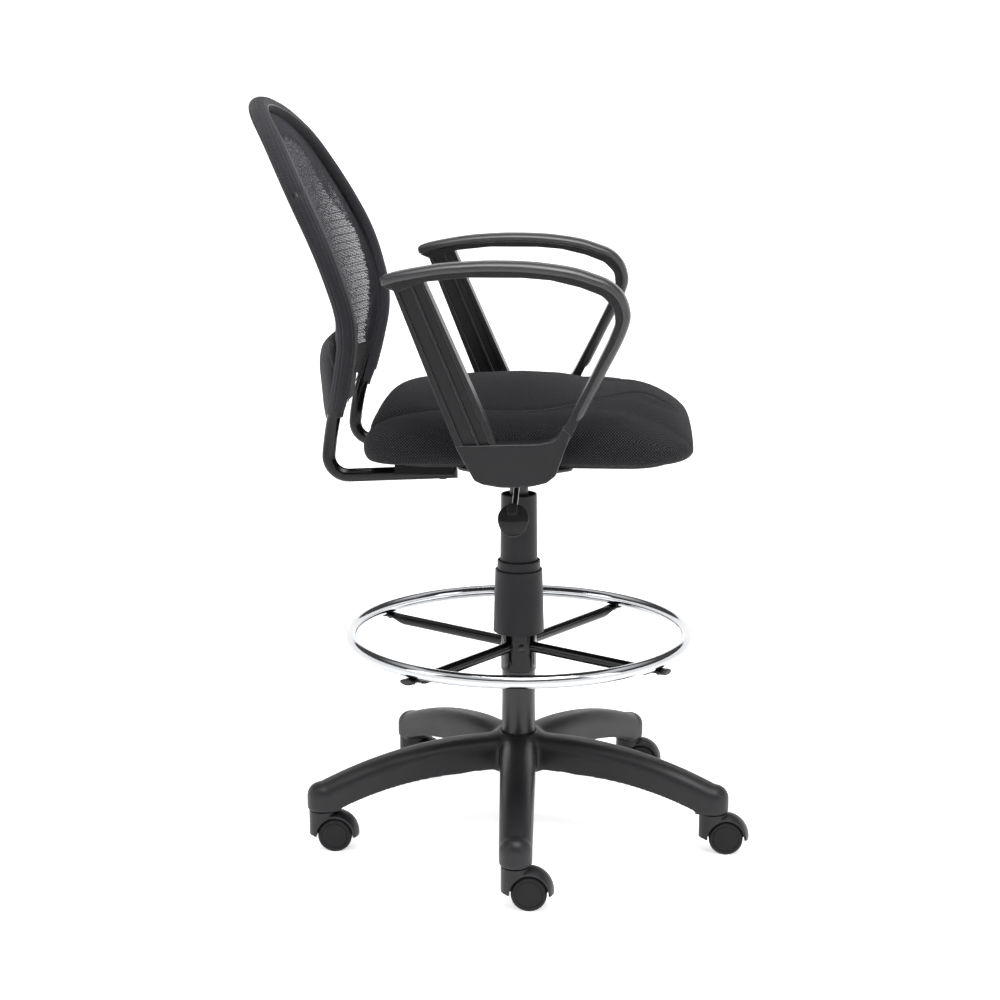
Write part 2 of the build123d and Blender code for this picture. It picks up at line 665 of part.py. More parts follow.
stem = turned([
    (0, STEM_BOTTOM_Z), (STEM_R, STEM_BOTTOM_Z), (STEM_R, HOOD_TOP_Z), (9, HOOD_TOP_Z),
    (9, SOCKET_Z - 0.3), (STEM_R, SOCKET_Z - 0.3), (STEM_R, 94), (4, 96), (0, 96),
])

with BuildPart() as hood:
    # crowned disc round the wheels
    with BuildSketch(wheel_plane):
        with BuildLine():
            Polyline((-17.5, 30), (-17.5, 0), (17.5, 0), (17.5, 30))
            ThreePointArc((17.5, 30), (0, 34.5), (-17.5, 30))
        make_face()
    revolve(axis=WHEEL_AXIS)
    # round neck under the leg socket
    with BuildSketch(Plane.XY.offset(HOOD_TOP_Z)):
        Circle(20.5)
    extrude(amount=24 - HOOD_TOP_Z)
    # open below, hollow for the wheels, with a web between them for the axle
    with Locations((0, -WHEEL_TRAIL, 23)):
        Box(60, 100, 40, align=(Align.CENTER, Align.CENTER, Align.MAX), mode=Mode.SUBTRACT)
    for side in (-1, 1):
        with BuildSketch(Plane.YZ.offset(side * WEB_HALF)):
            with Locations((-WHEEL_TRAIL, WHEEL_R)):
                Circle(CAVITY_R)
        extrude(amount=side * 30, mode=Mode.SUBTRACT)
    with BuildSketch(Plane.YZ.offset(-WEB_HALF)):
        with Locations((-WHEEL_TRAIL, WHEEL_R)):
            Circle(12)
    extrude(amount=2 * WEB_HALF)
    with BuildSketch(Plane.YZ):
        with Locations((-WHEEL_TRAIL, WHEEL_R)):
            Circle(AXLE_R)
    extrude(amount=20, both=True, mode=Mode.SUBTRACT)
    with Locations((0, 0, STEM_BOTTOM_Z)):
        Cylinder(STEM_R, 30, align=(Align.CENTER, Align.CENTER, Align.MIN), mode=Mode.SUBTRACT)

with BuildPart() as axle:
    with BuildSketch(Plane.YZ):
        with Locations((-WHEEL_TRAIL, WHEEL_R)):
            Circle(AXLE_R)
    extrude(amount=15, both=True)


def wheel(side):
    """A wheel with a shallow ring in its outer face, bored from the inside for the axle."""
    outline = [
        (WHEEL_IN, AXLE_R + RUNNING), (WHEEL_IN, 22.5), (5.2, WHEEL_R), (14.8, WHEEL_R), (WHEEL_OUT, 22.5),
        (WHEEL_OUT, 19.6), (16.3, 19), (16.3, 18.4), (WHEEL_OUT, 17.8), (17.3, 0), (15.5, 0),
        (15.5, AXLE_R + RUNNING),
    ]
    with BuildPart() as disc:
        with BuildSketch(wheel_plane):
            with BuildLine():
                Polyline(*[(side * x, y) for x, y in outline], close=True)
            make_face()
        revolve(axis=WHEEL_AXIS)
    return disc.part


caster_pieces = {
    "stem": stem,
    "hood": hood.part,
    "axle": axle.part,
    "wheel_left": wheel(1),
    "wheel_right": wheel(-1),
}
for number in range(LEGS):
    turn = radians(LEG_TURN + number * 360 / LEGS)
    place = Location((STEM_CIRCLE_R * cos(turn), STEM_CIRCLE_R * sin(turn), 0))
    for piece_name, piece in caster_pieces.items():
        save(piece.moved(place), f"caster_{number + 1}_{piece_name}")
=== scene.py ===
"""The looks of the drafting chair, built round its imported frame. Metres, +Z up, the sitter faces -Y."""
import json
import math

import bmesh
import bpy
import numpy as np
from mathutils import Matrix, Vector
from mathutils.bvhtree import BVHTree

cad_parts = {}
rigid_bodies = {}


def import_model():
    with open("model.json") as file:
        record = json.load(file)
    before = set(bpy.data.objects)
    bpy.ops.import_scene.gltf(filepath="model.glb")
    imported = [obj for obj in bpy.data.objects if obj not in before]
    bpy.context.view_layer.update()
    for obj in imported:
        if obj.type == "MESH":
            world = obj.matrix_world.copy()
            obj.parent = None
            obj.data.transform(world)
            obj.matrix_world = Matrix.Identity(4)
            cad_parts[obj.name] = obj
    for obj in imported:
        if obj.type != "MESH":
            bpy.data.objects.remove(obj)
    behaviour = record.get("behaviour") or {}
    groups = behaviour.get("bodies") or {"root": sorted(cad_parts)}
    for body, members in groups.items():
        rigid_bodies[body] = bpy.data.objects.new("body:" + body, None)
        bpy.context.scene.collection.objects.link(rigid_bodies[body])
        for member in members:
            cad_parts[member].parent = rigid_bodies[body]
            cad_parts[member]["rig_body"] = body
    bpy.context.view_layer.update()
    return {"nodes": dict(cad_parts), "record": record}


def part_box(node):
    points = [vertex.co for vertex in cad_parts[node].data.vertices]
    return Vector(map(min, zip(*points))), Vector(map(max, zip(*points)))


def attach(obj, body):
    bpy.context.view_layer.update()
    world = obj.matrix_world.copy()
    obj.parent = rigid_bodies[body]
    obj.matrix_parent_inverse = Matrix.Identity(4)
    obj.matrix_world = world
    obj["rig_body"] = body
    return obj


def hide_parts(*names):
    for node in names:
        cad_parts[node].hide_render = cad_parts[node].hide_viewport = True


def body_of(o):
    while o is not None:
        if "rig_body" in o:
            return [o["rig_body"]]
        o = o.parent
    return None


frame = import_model()
MM = 0.001


# ---- meshes ---------------------------------------------------------------
def placed(name, data):
    """A new object in the scene that shows data."""
    piece = bpy.data.objects.new(name, data)
    bpy.context.collection.objects.link(piece)
    return piece


def aim(piece, direction):
    """Turns a lamp or a camera to look along direction."""
    piece.rotation_mode = "QUATERNION"
    piece.rotation_quaternion = direction.to_track_quat("-Z", "Y")


def add_mesh(name, points, faces, pattern=None):
    """A smooth-shaded mesh object. pattern is one (along, across, 0) in metres for each point."""
    mesh = bpy.data.meshes.new(name)
    mesh.from_pydata([tuple(map(float, p)) for p in points], [], faces)
    mesh.update()
    mesh.shade_smooth()
    if pattern is not None:
        layer = mesh.attributes.new("pattern", "FLOAT_VECTOR", "POINT")
        layer.data.foreach_set("vector", np.asarray(pattern, np.float32).ravel())
    return placed(name, mesh)


def bridge(rings, capped=True):
    """Points and faces of a skin over closed rings of equal size; capped closes both ends."""
    points = [p for ring in rings for p in ring]
    size, faces = len(rings[0]), []
    for i in range(len(rings) - 1):
        for j in range(size):
            a, b = i * size + j, i * size + (j + 1) % size
            faces.append((a, b, b + size, a + size))
    if capped:
        faces.append(tuple(range(size - 1, -1, -1)))
        faces.append(tuple(range(len(points) - size, len(points))))
    return points, faces


def outward(piece):
    """Turns every face of a closed mesh outward."""
    work = bmesh.new()
    work.from_mesh(piece.data)
    bmesh.ops.recalc_face_normals(work, faces=work.faces)
    work.to_mesh(piece.data)
    work.free()


def modify(piece, kind, **settings):
    """Adds one modifier and applies it."""
    modifier = piece.modifiers.new(kind.lower(), kind)
    for key, value in settings.items():
        setattr(modifier, key, value)
    apply_modifiers(piece)


def apply_modifiers(piece):
    """Bakes the piece's modifiers into its mesh."""
    graph = bpy.context.evaluated_depsgraph_get()
    baked = bpy.data.meshes.new_from_object(piece.evaluated_get(graph))
    piece.modifiers.clear()
    piece.data = baked
    piece.data.shade_smooth()


def coordinates(piece):
    """The piece's points as an array."""
    flat = np.empty(len(piece.data.vertices) * 3, np.float32)
    piece.data.vertices.foreach_get("co", flat)
    return flat.reshape(-1, 3).astype(float)


def set_coordinates(piece, points):
    piece.data.vertices.foreach_set("co", np.asarray(points, np.float32).ravel())
    piece.data.update()


def normals(piece):
    flat = np.empty(len(piece.data.vertices) * 3, np.float32)
    piece.data.vertices.foreach_get("normal", flat)
    return flat.reshape(-1, 3).astype(float)


def smoothstep(value, low, high):
    share = np.clip((value - low) / (high - low), 0, 1)
    return share * share * (3 - 2 * share)


def unit(vectors):
    """The vectors scaled to length one."""
    return vectors / np.linalg.norm(vectors, axis=-1, keepdims=True)


def directions(line):
    """Unit directions along a line, one at each point."""
    return unit(np.gradient(line, axis=0))


def forward_from(along):
    """Unit directions as near straight forward as they can be while square to the given ones."""
    return unit((0, -1, 0) + along * along[:, 1:2])


def travelled(line):
    """Distance along the line from its first point to each of its points."""
    return np.r_[0, np.cumsum(np.linalg.norm(np.diff(line, axis=0), axis=1))]


def read_off(values, lengths, at):
    """Rows of values, known at the given lengths, read off at other distances."""
    return np.stack([np.interp(at, lengths, column) for column in values.T], axis=-1)


def evenly(path, steps, closed=False):
    """Points at equal distances along a path; a closed path doesn't repeat its first point."""
    lengths = travelled(path)
    return read_off(path, lengths, np.linspace(0, lengths[-1], steps, endpoint=not closed))


def corner_arc(before, corner, after, room, radius=math.inf, steps=None):
    """Points of the arc that rounds a corner; it takes up at most a share, room, of the shorter side."""
    into, out = corner - before, after - corner
    trim = room * min(np.linalg.norm(into), np.linalg.norm(out))
    into, out = unit(into), unit(out)
    half = max(math.acos(np.clip(into @ out, -1, 1)) / 2, 1e-4)
    radius = min(radius, trim / math.tan(half))
    aside, ahead = unit(out - into), unit(into + out)
    centre = corner + aside * radius / math.cos(half)
    turns = np.linspace(-half, half, steps or max(3, int(math.degrees(half) / 5) + 2))
    return [centre - aside * radius * math.cos(turn) + ahead * radius * math.sin(turn) for turn in turns]


PUFF_STEPS = 20  # frames of cloth simulation for each filled piece


def puff(piece, pressure, cap, pinned, voxel=0.005):
    """Blows a closed piece up as cloth under pressure. pinned(points) tells which points stay where
    they are, and no other point moves further than cap."""
    modify(piece, "REMESH", mode="VOXEL", voxel_size=voxel)
    before = coordinates(piece)
    group = piece.vertex_groups.new(name="pinned")
    group.add(np.flatnonzero(pinned(before)).tolist(), 1.0, "REPLACE")
    cloth = piece.modifiers.new("cloth", "CLOTH")
    cloth.settings.use_pressure = True
    cloth.settings.uniform_pressure_force = pressure
    cloth.settings.effector_weights.gravity = 0.0
    cloth.settings.vertex_group_mass = "pinned"
    for step in range(1, PUFF_STEPS + 1):
        bpy.context.scene.frame_set(step)
    apply_modifiers(piece)
    moved = coordinates(piece) - before
    length = np.linalg.norm(moved, axis=1, keepdims=True)
    moved *= cap * np.tanh(length / cap) / np.maximum(length, 1e-9)
    set_coordinates(piece, before + moved)
    bpy.context.scene.frame_set(1)
    modify(piece, "SMOOTH", factor=0.5, iterations=4)
    modify(piece, "SUBSURF", levels=1)


# ---- materials ------------------------------------------------------------
class Look:
    """A Principled material under construction. Patterns read object or mesh coordinates only."""

    def __init__(self, name, colour, roughness, metallic=0.0, specular=0.5):
        self.material = bpy.data.materials.new(name)
        self.material.use_nodes = True
        self.tree = self.material.node_tree
        self.shader = self.tree.nodes["Principled BSDF"]
        self.colour = colour
        self.keep(Base_Color=(*colour, 1), Roughness=roughness)
        self.keep(Metallic=metallic, Specular_IOR_Level=specular)
        self.place = self.node("TexCoord").outputs["Object"]

    def keep(self, **constants):
        """Sets constants on the shader's own sockets, named with _ for each space."""
        for name, value in constants.items():
            self.shader.inputs[name.replace("_", " ")].default_value = value

    def node(self, kind, **settings):
        made = self.tree.nodes.new("ShaderNode" + kind)
        for key, value in settings.items():
            setattr(made, key, value)
        return made

    def link(self, source, target):
        self.tree.links.new(source, target)

    def pattern(self):
        """The mesh's own (along, across) coordinates, in metres."""
        return self.node("Attribute", attribute_name="pattern").outputs["Vector"]

    def math(self, operation, first, second=None):
        made = self.node("Math", operation=operation)
        for socket, value in zip(made.inputs, (first, second)):
            if value is None:
                continue
            if isinstance(value, (int, float)):
                socket.default_value = value
            else:
                self.link(value, socket)
        return made.outputs[0]

    def scaled(self, place, scale):
        made = self.node("VectorMath", operation="MULTIPLY")
        self.link(place, made.inputs[0])
        made.inputs[1].default_value = scale
        return made.outputs[0]

    def noise(self, scale, detail=2.0, place=None, stretch=(1, 1, 1)):
        made = self.node("TexNoise")
        made.inputs["Scale"].default_value = scale
        made.inputs["Detail"].default_value = detail
        self.link(self.scaled(place or self.place, stretch), made.inputs["Vector"])
        return made.outputs["Fac"]

    def spread(self, source, low, high, start=0.0, end=1.0):
        """source from start..end mapped onto low..high."""
        made = self.node("MapRange")
        self.link(source, made.inputs["Value"])
        for key, value in (("From Min", start), ("From Max", end), ("To Min", low), ("To Max", high)):
            made.inputs[key].default_value = value
        return made.outputs["Result"]

    def tint(self, source, dark=0.75, light=1.25):
        """Varies the base colour between dark and light times itself."""
        made = self.node("Mix", data_type="RGBA")
        self.link(source, made.inputs["Factor"])
        made.inputs["A"].default_value = (*[c * dark for c in self.colour], 1)
        made.inputs["B"].default_value = (*[c * light for c in self.colour], 1)
        self.link(made.outputs["Result"], self.shader.inputs["Base Color"])

    def roughen(self, source, low, high):
        self.link(self.spread(source, low, high), self.shader.inputs["Roughness"])

    def painted_rim_highlights(self, light):
        """Paints highlights onto the rounded rims between a flat side facing along x and the walls round it:
        a lighter colour that stands in for the light the rims catch, broken up by noise.
        """
        way = self.node("SeparateXYZ")
        self.link(self.node("TexCoord").outputs["Normal"], way.inputs[0])
        flat = self.math("ABSOLUTE", way.outputs[0])
        rim = self.math("MULTIPLY", self.math("MULTIPLY", flat, 4.0), self.math("SUBTRACT", 1.0, flat))
        highlight_breakup = self.spread(self.noise(45.0, 3.0), 0.55, 1.0, 0.3, 0.7)
        self.tint(self.math("MULTIPLY", self.math("POWER", rim, 2.0), highlight_breakup), 1.0, light)

    def bump(self, height, depth, strength=1.0):
        """Adds a bump of depth metres; later calls stack on earlier ones."""
        made = self.node("Bump")
        made.inputs["Strength"].default_value = strength
        made.inputs["Distance"].default_value = depth
        self.link(height, made.inputs["Height"])
        socket = self.shader.inputs["Normal"]
        if socket.is_linked:
            self.link(socket.links[0].from_socket, made.inputs["Normal"])
        self.link(made.outputs["Normal"], socket)


def moulded(name, colour, roughness, grain=0.00004, scale=1400.0, specular=0.5):
    """Moulded plastic: a fine spark-eroded grain, faint flow marks and handling polish."""
    look = Look(name, colour, roughness, specular=specular)
    flow = look.noise(9.0, 3.0)
    look.tint(flow, 0.8, 1.2)
    look.roughen(look.noise(22.0, 4.0), roughness - 0.07, roughness + 0.08)
    look.bump(look.noise(scale, 2.0), grain, 0.6)
    return look


def painted(name, colour, roughness, coat=0.4, specular=0.35):
    """Powder-coated or lacquered steel with a slight orange peel."""
    look = Look(name, colour, roughness, specular=specular)
    look.tint(look.noise(14.0, 3.0), 0.85, 1.15)
    look.roughen(look.noise(30.0, 4.0), roughness - 0.05, roughness + 0.07)
    look.bump(look.noise(420.0, 2.0), 0.00003, 0.5)
    look.keep(Coat_Weight=coat, Coat_Roughness=0.12)
    return look


def steel(name, colour, roughness, stretch=(1, 1, 30)):
    """Turned or drawn steel with fine lines along one axis."""
    look = Look(name, colour, roughness, metallic=1.0)
    lines = look.noise(160.0, 4.0, stretch=stretch)
    look.tint(lines, 0.85, 1.1)
    look.roughen(lines, roughness - 0.08, roughness + 0.12)
    look.bump(lines, 0.00001, 0.4)
    return look


def chrome(name):
    """Bright plate over a bent tube: nearly a mirror, with faint polishing haze and specks."""
    look = Look(name, (0.5, 0.512, 0.53), 0.07, metallic=1.0)
    look.tint(look.noise(6.0, 2.0), 0.94, 1.03)
    look.roughen(look.noise(40.0, 5.0), 0.035, 0.13)
    look.bump(look.noise(55.0, 2.0), 0.00002, 0.25)
    return look


def knit(name, colour, rows, columns, depth=0.0003, roughness=0.8, place=None, sheen=0.35, light=2.4):
    """Rows of small loops. rows and columns are loops per metre; place is metres on the cloth."""
    look = Look(name, colour, roughness, specular=0.2)
    at = place(look) if place else look.pattern()
    split = look.node("SeparateXYZ")
    look.link(at, split.inputs[0])
    along = look.math("MULTIPLY", split.outputs[0], 2 * math.pi * rows)
    across = look.math("MULTIPLY", split.outputs[1], 2 * math.pi * columns)
    loops = look.math("MULTIPLY", look.math("SINE", along), look.math("SINE", across))
    uneven = look.noise(260.0, 2.0, at)
    height = look.math("ADD", loops, look.math("MULTIPLY", uneven, 0.8))
    look.bump(height, depth, 0.9)
    dots = look.spread(loops, 0.0, 1.0, 0.05, 0.85)
    shade = look.spread(look.noise(6.0, 3.0), 0.55, 1.3)
    look.tint(look.math("MULTIPLY", dots, shade), 0.3, light)
    look.keep(Sheen_Weight=sheen, Sheen_Roughness=0.45)
    return look


LEVEL_SHARE = 0.62  # a face counts as level when its normal is this upright


def box_mapped(look):
    """Metres on the cloth from three flat projections, chosen by the way the surface faces."""
    coords = look.node("TexCoord")
    at = look.node("SeparateXYZ")
    way = look.node("SeparateXYZ")
    look.link(coords.outputs["Object"], at.inputs[0])
    look.link(coords.outputs["Normal"], way.inputs[0])
    x, y, z = at.outputs
    size_x, size_y, size_z = (look.math("ABSOLUTE", part) for part in way.outputs)
    faces_up = look.math("GREATER_THAN", size_z, LEVEL_SHARE)
    ends = look.math("GREATER_THAN", size_y, size_x)

    def choose(switch, off, on):
        made = look.node("Mix", data_type="FLOAT")
        look.link(switch, made.inputs["Factor"])
        look.link(off, made.inputs["A"])
        look.link(on, made.inputs["B"])
        return made.outputs["Result"]

    along = choose(faces_up, choose(ends, y, x), x)
    across = choose(faces_up, z, y)
    joined = look.node("CombineXYZ")
    look.link(along, joined.inputs[0])
    look.link(across, joined.inputs[1])
    return joined.outputs[0]


BLACK = (0.0078, 0.0078, 0.0092)
LOOKS = {
    "base_nylon": moulded("moulded_nylon", BLACK, 0.42, 0.00006, 900.0, specular=0.3),
    "black_steel": painted("satin_black_steel", (0.0065, 0.0065, 0.007), 0.33, 0.12),
    "gloss_black_steel": painted("gloss_black_steel", (0.003, 0.003, 0.0034), 0.16, 0.06, specular=0.22),
    "bush_plastic": moulded("acetal_bush", (0.62, 0.6, 0.55), 0.4),
    "cover_plastic": moulded("cover_plastic", (0.0072, 0.0072, 0.0094), 0.42, specular=0.22),
    "ring_chrome": chrome("bright_chrome"),
    "cap_plastic": moulded("cap_plastic", (0.009, 0.009, 0.01), 0.3, specular=0.35),
    "fastener_steel": painted("blackened_steel", (0.006, 0.006, 0.006), 0.4, 0.05),
    "bare_steel": steel("turned_steel", (0.5, 0.5, 0.51), 0.25),
    # saddle_plastic is darker than the other black mouldings: painted shade, so the saddles read as the
    # shadow under the seat
    "saddle_plastic": moulded("saddle_plastic", (0.004, 0.004, 0.0045), 0.65, specular=0.12),
    "arm_plastic": moulded("arm_plastic", BLACK, 0.42, specular=0.3),
    "arm_pad_soft": moulded("arm_pad_soft", BLACK, 0.5, 0.00008, 700.0, specular=0.3),
    "paddle_plastic": moulded("paddle_plastic", (0.012, 0.012, 0.013), 0.58, specular=0.25),
    "hood_nylon": moulded("hood_nylon", (0.0068, 0.0068, 0.008), 0.42, 0.00007, 900.0, specular=0.3),
    "wheel_nylon": moulded("wheel_nylon", (0.005, 0.005, 0.006), 0.5, 0.00005, 900.0, specular=0.2),
}


def plywood(name):
    """Pressed board in a black dust cloth's shade, with fine fibres."""
    look = Look(name, (0.03, 0.028, 0.027), 0.85, specular=0.2)
    look.tint(look.noise(90.0, 4.0, stretch=(1, 8, 1)), 0.6, 1.5)
    look.bump(look.noise(900.0, 3.0), 0.0001, 0.7)
    return look


LOOKS["pan_board"] = plywood("pan_underside")

slot_of = {part["node"]: part["material_slot"] for part in frame["record"]["subparts"]}
for node, piece in frame["nodes"].items():
    if slot_of[node] in LOOKS:
        piece.data.materials.clear()
        piece.data.materials.append(LOOKS[slot_of[node]].material)


def fitted(corners, steps):
    """Evenly spaced points along an open smooth line through mm corners."""
    p = np.array(corners, float) * MM
    p = np.vstack([2 * p[0] - p[1], p, 2 * p[-1] - p[-2]])
    path = []
    for i in range(1, len(p) - 2):
        before, here, after, later = p[i - 1:i + 3]
        for t in np.arange(8) / 8:
            path.append(0.5 * (
                2 * here + (after - before) * t + (2 * before - 5 * here + 4 * after - later) * t ** 2
                + (3 * here - before - 3 * after + later) * t ** 3
            ))
    return evenly(np.array(path + [p[-2]]), steps)


# ---- seat cushion ---------------------------------------------------------
SEAT_LOW, SEAT_HIGH = (Vector(corner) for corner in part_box("seat_cushion"))
SEAT_STEPS = 208  # points round the outline
SEAT_HALF_X = SEAT_HIGH.x - 0.002
SEAT_FRONT_Y, SEAT_REAR_Y = SEAT_LOW.y - 0.003, SEAT_HIGH.y + 0.0065
FRONT_CORNER, REAR_CORNER = 0.092, 0.056
SEAT_BOTTOM_Z = SEAT_LOW.z - 0.0095  # the cover wraps round the edge of the pan
HEM_INSET, HEM_FRONT = 0.012, 0.018  # how far the hem lies in from the outline, and more in front
ROLL, ROLL_FRONT, ROLL_REAR = 0.086, 0.006, 0.034  # width of the rolled rim, and more at the two ends
WALL_Z, WALL_FRONT, WALL_REAR = 0.627, 0.014, 0.005  # height where the rim turns under; less at the ends
RIDGE_X = 0.152  # the two seams that part the middle from the side bolsters
# heights along y, before the edges roll over: of the seams, and of the middle plane, in mm
RIDGE_LINE = np.array([
    (-256, 628), (-240, 634), (-211, 646), (-187, 656), (-147, 668), (-119, 670), (-50, 669),
    (0, 668), (206, 668),
]) * MM
CROWN_LINE = np.array([
    (-256, 682), (-209, 682), (-186, 684), (-169, 684), (-142, 681), (-118, 681), (-100, 686), (-60, 696),
    (0, 699), (70, 695), (130, 689), (206, 689),
]) * MM
# plan of the seam on the sitter's left: it turns inward before it runs over the front edge
SEAM_PLAN = np.array([
    (58, -240), (53, -215), (52, -191), (55, -170), (62, -152), (75, -136), (93, -119),
    (112, -101), (129, -82), (141, -62), (148, -38), (151, -10), (152, 110), (148, 206),
]) * MM
SEAM_FADE_Y, SEAM_END_Y = -0.21, -0.236  # where the seams start to fade, and where they end


def seat_outline(steps):
    """Points round the seat's rounded rectangle, seen from above."""
    corners = []
    for quarter, (sx, sy) in enumerate(((1, 1), (-1, 1), (-1, -1), (1, -1))):
        radius = REAR_CORNER if sy > 0 else FRONT_CORNER
        centre = ((SEAT_HALF_X - radius) * sx, (SEAT_REAR_Y if sy > 0 else SEAT_FRONT_Y) - radius * sy)
        turns = np.radians(90 * quarter + np.linspace(0, 90, 24))
        corners.append(np.array(centre) + radius * np.c_[np.cos(turns), np.sin(turns)])
    return evenly(np.vstack(corners + [corners[0][:1]]), steps, closed=True)


def seat_top(x, y):
    """Height of the sitting surface before its edges roll over."""
    ridge = np.interp(y, RIDGE_LINE[:, 0], RIDGE_LINE[:, 1])
    crown = np.interp(y, CROWN_LINE[:, 0], CROWN_LINE[:, 1])
    return crown + (ridge - crown) * np.clip(np.abs(x) / RIDGE_X, 0, 1) ** 2


def distance_to(points, line):
    """Each point's distance to the nearest of the line's closely spaced points."""
    nearest = np.full(len(points), 9.0)
    for spot in line:
        nearest = np.minimum(nearest, ((points - spot) ** 2).sum(1))
    return np.sqrt(nearest)


def seat_seams():
    """Plan lines of the two seams, from the rear edge to where they fade in the rolled front."""
    y = np.linspace(SEAT_REAR_Y + 0.002, SEAM_END_Y, 160)
    x = np.interp(y, SEAM_PLAN[:, 1], SEAM_PLAN[:, 0])
    return [np.c_[side * x, y] for side in (-1, 1)]


def surface_tree(piece):
    work = bmesh.new()
    work.from_mesh(piece.data)
    tree = BVHTree.FromBMesh(work)
    work.free()
    return tree


def laid_on(piece, plan):
    """Drops plan points onto the piece from above; those beyond its edge go to its nearest point."""
    skin, middle = surface_tree(piece), SEAT_LOW.z + 0.02
    line = []
    for x, y in plan:
        hit = skin.ray_cast(Vector((x, y, 1.0)), Vector((0, 0, -1)))[0]
        line.append(hit or skin.find_nearest(Vector((x, y, middle)))[0])
    return np.array(line)


def seat_cushion():
    outline = seat_outline(SEAT_STEPS)
    middle = np.array((0.0, (SEAT_FRONT_Y + SEAT_REAR_Y) / 2))
    reach = np.linalg.norm(outline - middle, axis=1)
    facing = (outline - middle) / reach[:, None]
    front, rear = np.clip(-facing[:, 1], 0, 1) ** 2, np.clip(facing[:, 1], 0, 1) ** 2
    roll = ROLL + ROLL_FRONT * front + ROLL_REAR * rear
    wall = WALL_Z - WALL_FRONT * front - WALL_REAR * rear
    bottom = SEAT_BOTTOM_Z + 0.005 * (1 - front) * (1 - rear)
    hem = HEM_INSET + HEM_FRONT * front
    rings = []
    for share in (0.0, 0.5, 0.9, 1.0):
        inset = hem + (1 - share) * (reach - hem)
        rings.append(np.c_[outline - facing * inset[:, None], bottom])
    for turn in np.radians(np.arange(9, 90, 9)):
        height = wall - (wall - bottom) * math.cos(turn)
        rings.append(np.c_[outline - facing * (hem * (1 - math.sin(turn)))[:, None], height])
    for share in np.r_[0, 0.008, 0.02, 0.04, 0.065, np.linspace(0.09, 1, 40)]:
        inset = share * reach
        spot = outline - facing * inset[:, None]
        fuller = 2 + 0.9 * (1 - smoothstep(np.abs(spot[:, 0]), 0.11, 0.15)) * rear
        rise = (1 - (1 - np.clip(inset / roll, 0, 1)) ** fuller) ** (1 / fuller)
        rings.append(np.c_[spot, wall + (seat_top(spot[:, 0], spot[:, 1]) - wall) * rise])
    piece = add_mesh("seat_pad", *bridge(rings, capped=False))
    modify(piece, "WELD", merge_threshold=0.0005)
    outward(piece)
    seams = [laid_on(piece, plan) for plan in seat_seams()]
    low = SEAT_BOTTOM_Z + 0.009
    both = np.vstack(seams)
    puff(piece, 4.0, 0.005, pinned=lambda p: (p[:, 2] < low) | (distance_to(p, both) < 0.005))
    return piece


def sew(piece):
    """Draws the cloth in along the two seams, most at the rear, and sets the rear of the middle back."""
    points = coordinates(piece)
    middle = (1 - smoothstep(np.abs(points[:, 0]), 0.125, 0.158)) * smoothstep(points[:, 1], 0.1, 0.2)
    points[:, 1] -= 0.0015 * middle
    set_coordinates(piece, points)
    out = normals(piece)
    seams = np.vstack([laid_on(piece, plan) for plan in seat_seams()])
    fade = 1 - smoothstep(-points[:, 1], -SEAM_FADE_Y, -SEAM_END_Y)
    rear = smoothstep(points[:, 1], 0.1, 0.19)
    above = points[:, 2] > SEAT_LOW.z + 0.004
    away = distance_to(points, seams)
    depth = (0.0026 + 0.0115 * rear) * np.exp(-(away / (0.006 + 0.006 * rear)) ** 2) * fade * above
    set_coordinates(piece, points - out * depth[:, None])


CORD_SIDES = 8


def tube(name, line, radius):
    """A round cord along a line of points."""
    line = np.asarray(line, float)
    along = directions(line)
    side = unit(np.cross(along, np.where(np.abs(along[:, 2:]) > 0.9, (1.0, 0.0, 0.0), (0.0, 0.0, 1.0))))
    turns = np.linspace(0, 2 * math.pi, CORD_SIDES, endpoint=False)
    rings = []
    for centre, across, over in zip(line, side, np.cross(side, along)):
        rings.append([centre + radius * (across * math.cos(t) + over * math.sin(t)) for t in turns])
    return add_mesh(name, *bridge(rings))


def dress(piece, look, body, slot, *replaced):
    """Gives a new piece its material and its body, and hides the CAD nodes that it stands for; slot is not
    used.
    """
    piece.data.materials.clear()
    piece.data.materials.append(look.material)
    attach(piece, body)
    if replaced:
        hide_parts(*replaced)


seat = seat_cushion()
sew(seat)
seat_look = knit(
    "air_mesh_fabric", (0.0036, 0.0036, 0.0045), 250.0, 250.0, 0.0008, place=box_mapped, sheen=0.008,
    light=10.0,
)
dress(seat, seat_look, "seat", "seat_fabric", "seat_cushion")

SEAM_RADIUS = 0.0009
# the seam cords are real raised ridges; their light grey colour is a painted highlight along the seams
seam_highlight_look = knit("piping_cloth_painted_highlight", (0.07, 0.07, 0.075), 900.0, 900.0, 0.0001, 0.6, sheen=0.1)
for plan, word in zip(seat_seams(), ("right", "left")):
    cord = laid_on(seat, plan[plan[:, 1] < SEAT_REAR_Y - 0.012])
    cord[:, 2] += 0.0006 - 0.0022 * smoothstep(-cord[:, 1], 0.17, 0.215)
    dress(tube(f"seat_seam_{word}", cord, SEAM_RADIUS), seam_highlight_look, "seat", "seat_fabric")


# ---- back -----------------------------------------------------------------
# corners of the back tube on the sitter's left, as in the CAD, from the heel up to the crown
TUBE_CORNERS = np.array([
    (143, 264, 571.5), (143, 256, 642), (172, 238, 704), (204, 222, 790), (227, 250, 886),
    (204, 292, 968), (152, 330, 1035), (95, 357, 1069), (32, 371, 1083),
]) * MM
HEM_Z = 0.660
TUBE_ROOM = 0.45  # share of a straight run that a bend may take up


def rounded(corners, spacing):
    """Evenly spaced points along straight runs joined by tangent arcs, as the tube is bent."""
    path = [corners[0]]
    for before, corner, after in zip(corners, corners[1:], corners[2:]):
        path += corner_arc(before, corner, after, TUBE_ROOM, steps=12)
    path = np.array(path + [corners[-1]])
    lengths = travelled(path)
    return read_off(path, lengths, np.arange(0, lengths[-1], spacing))


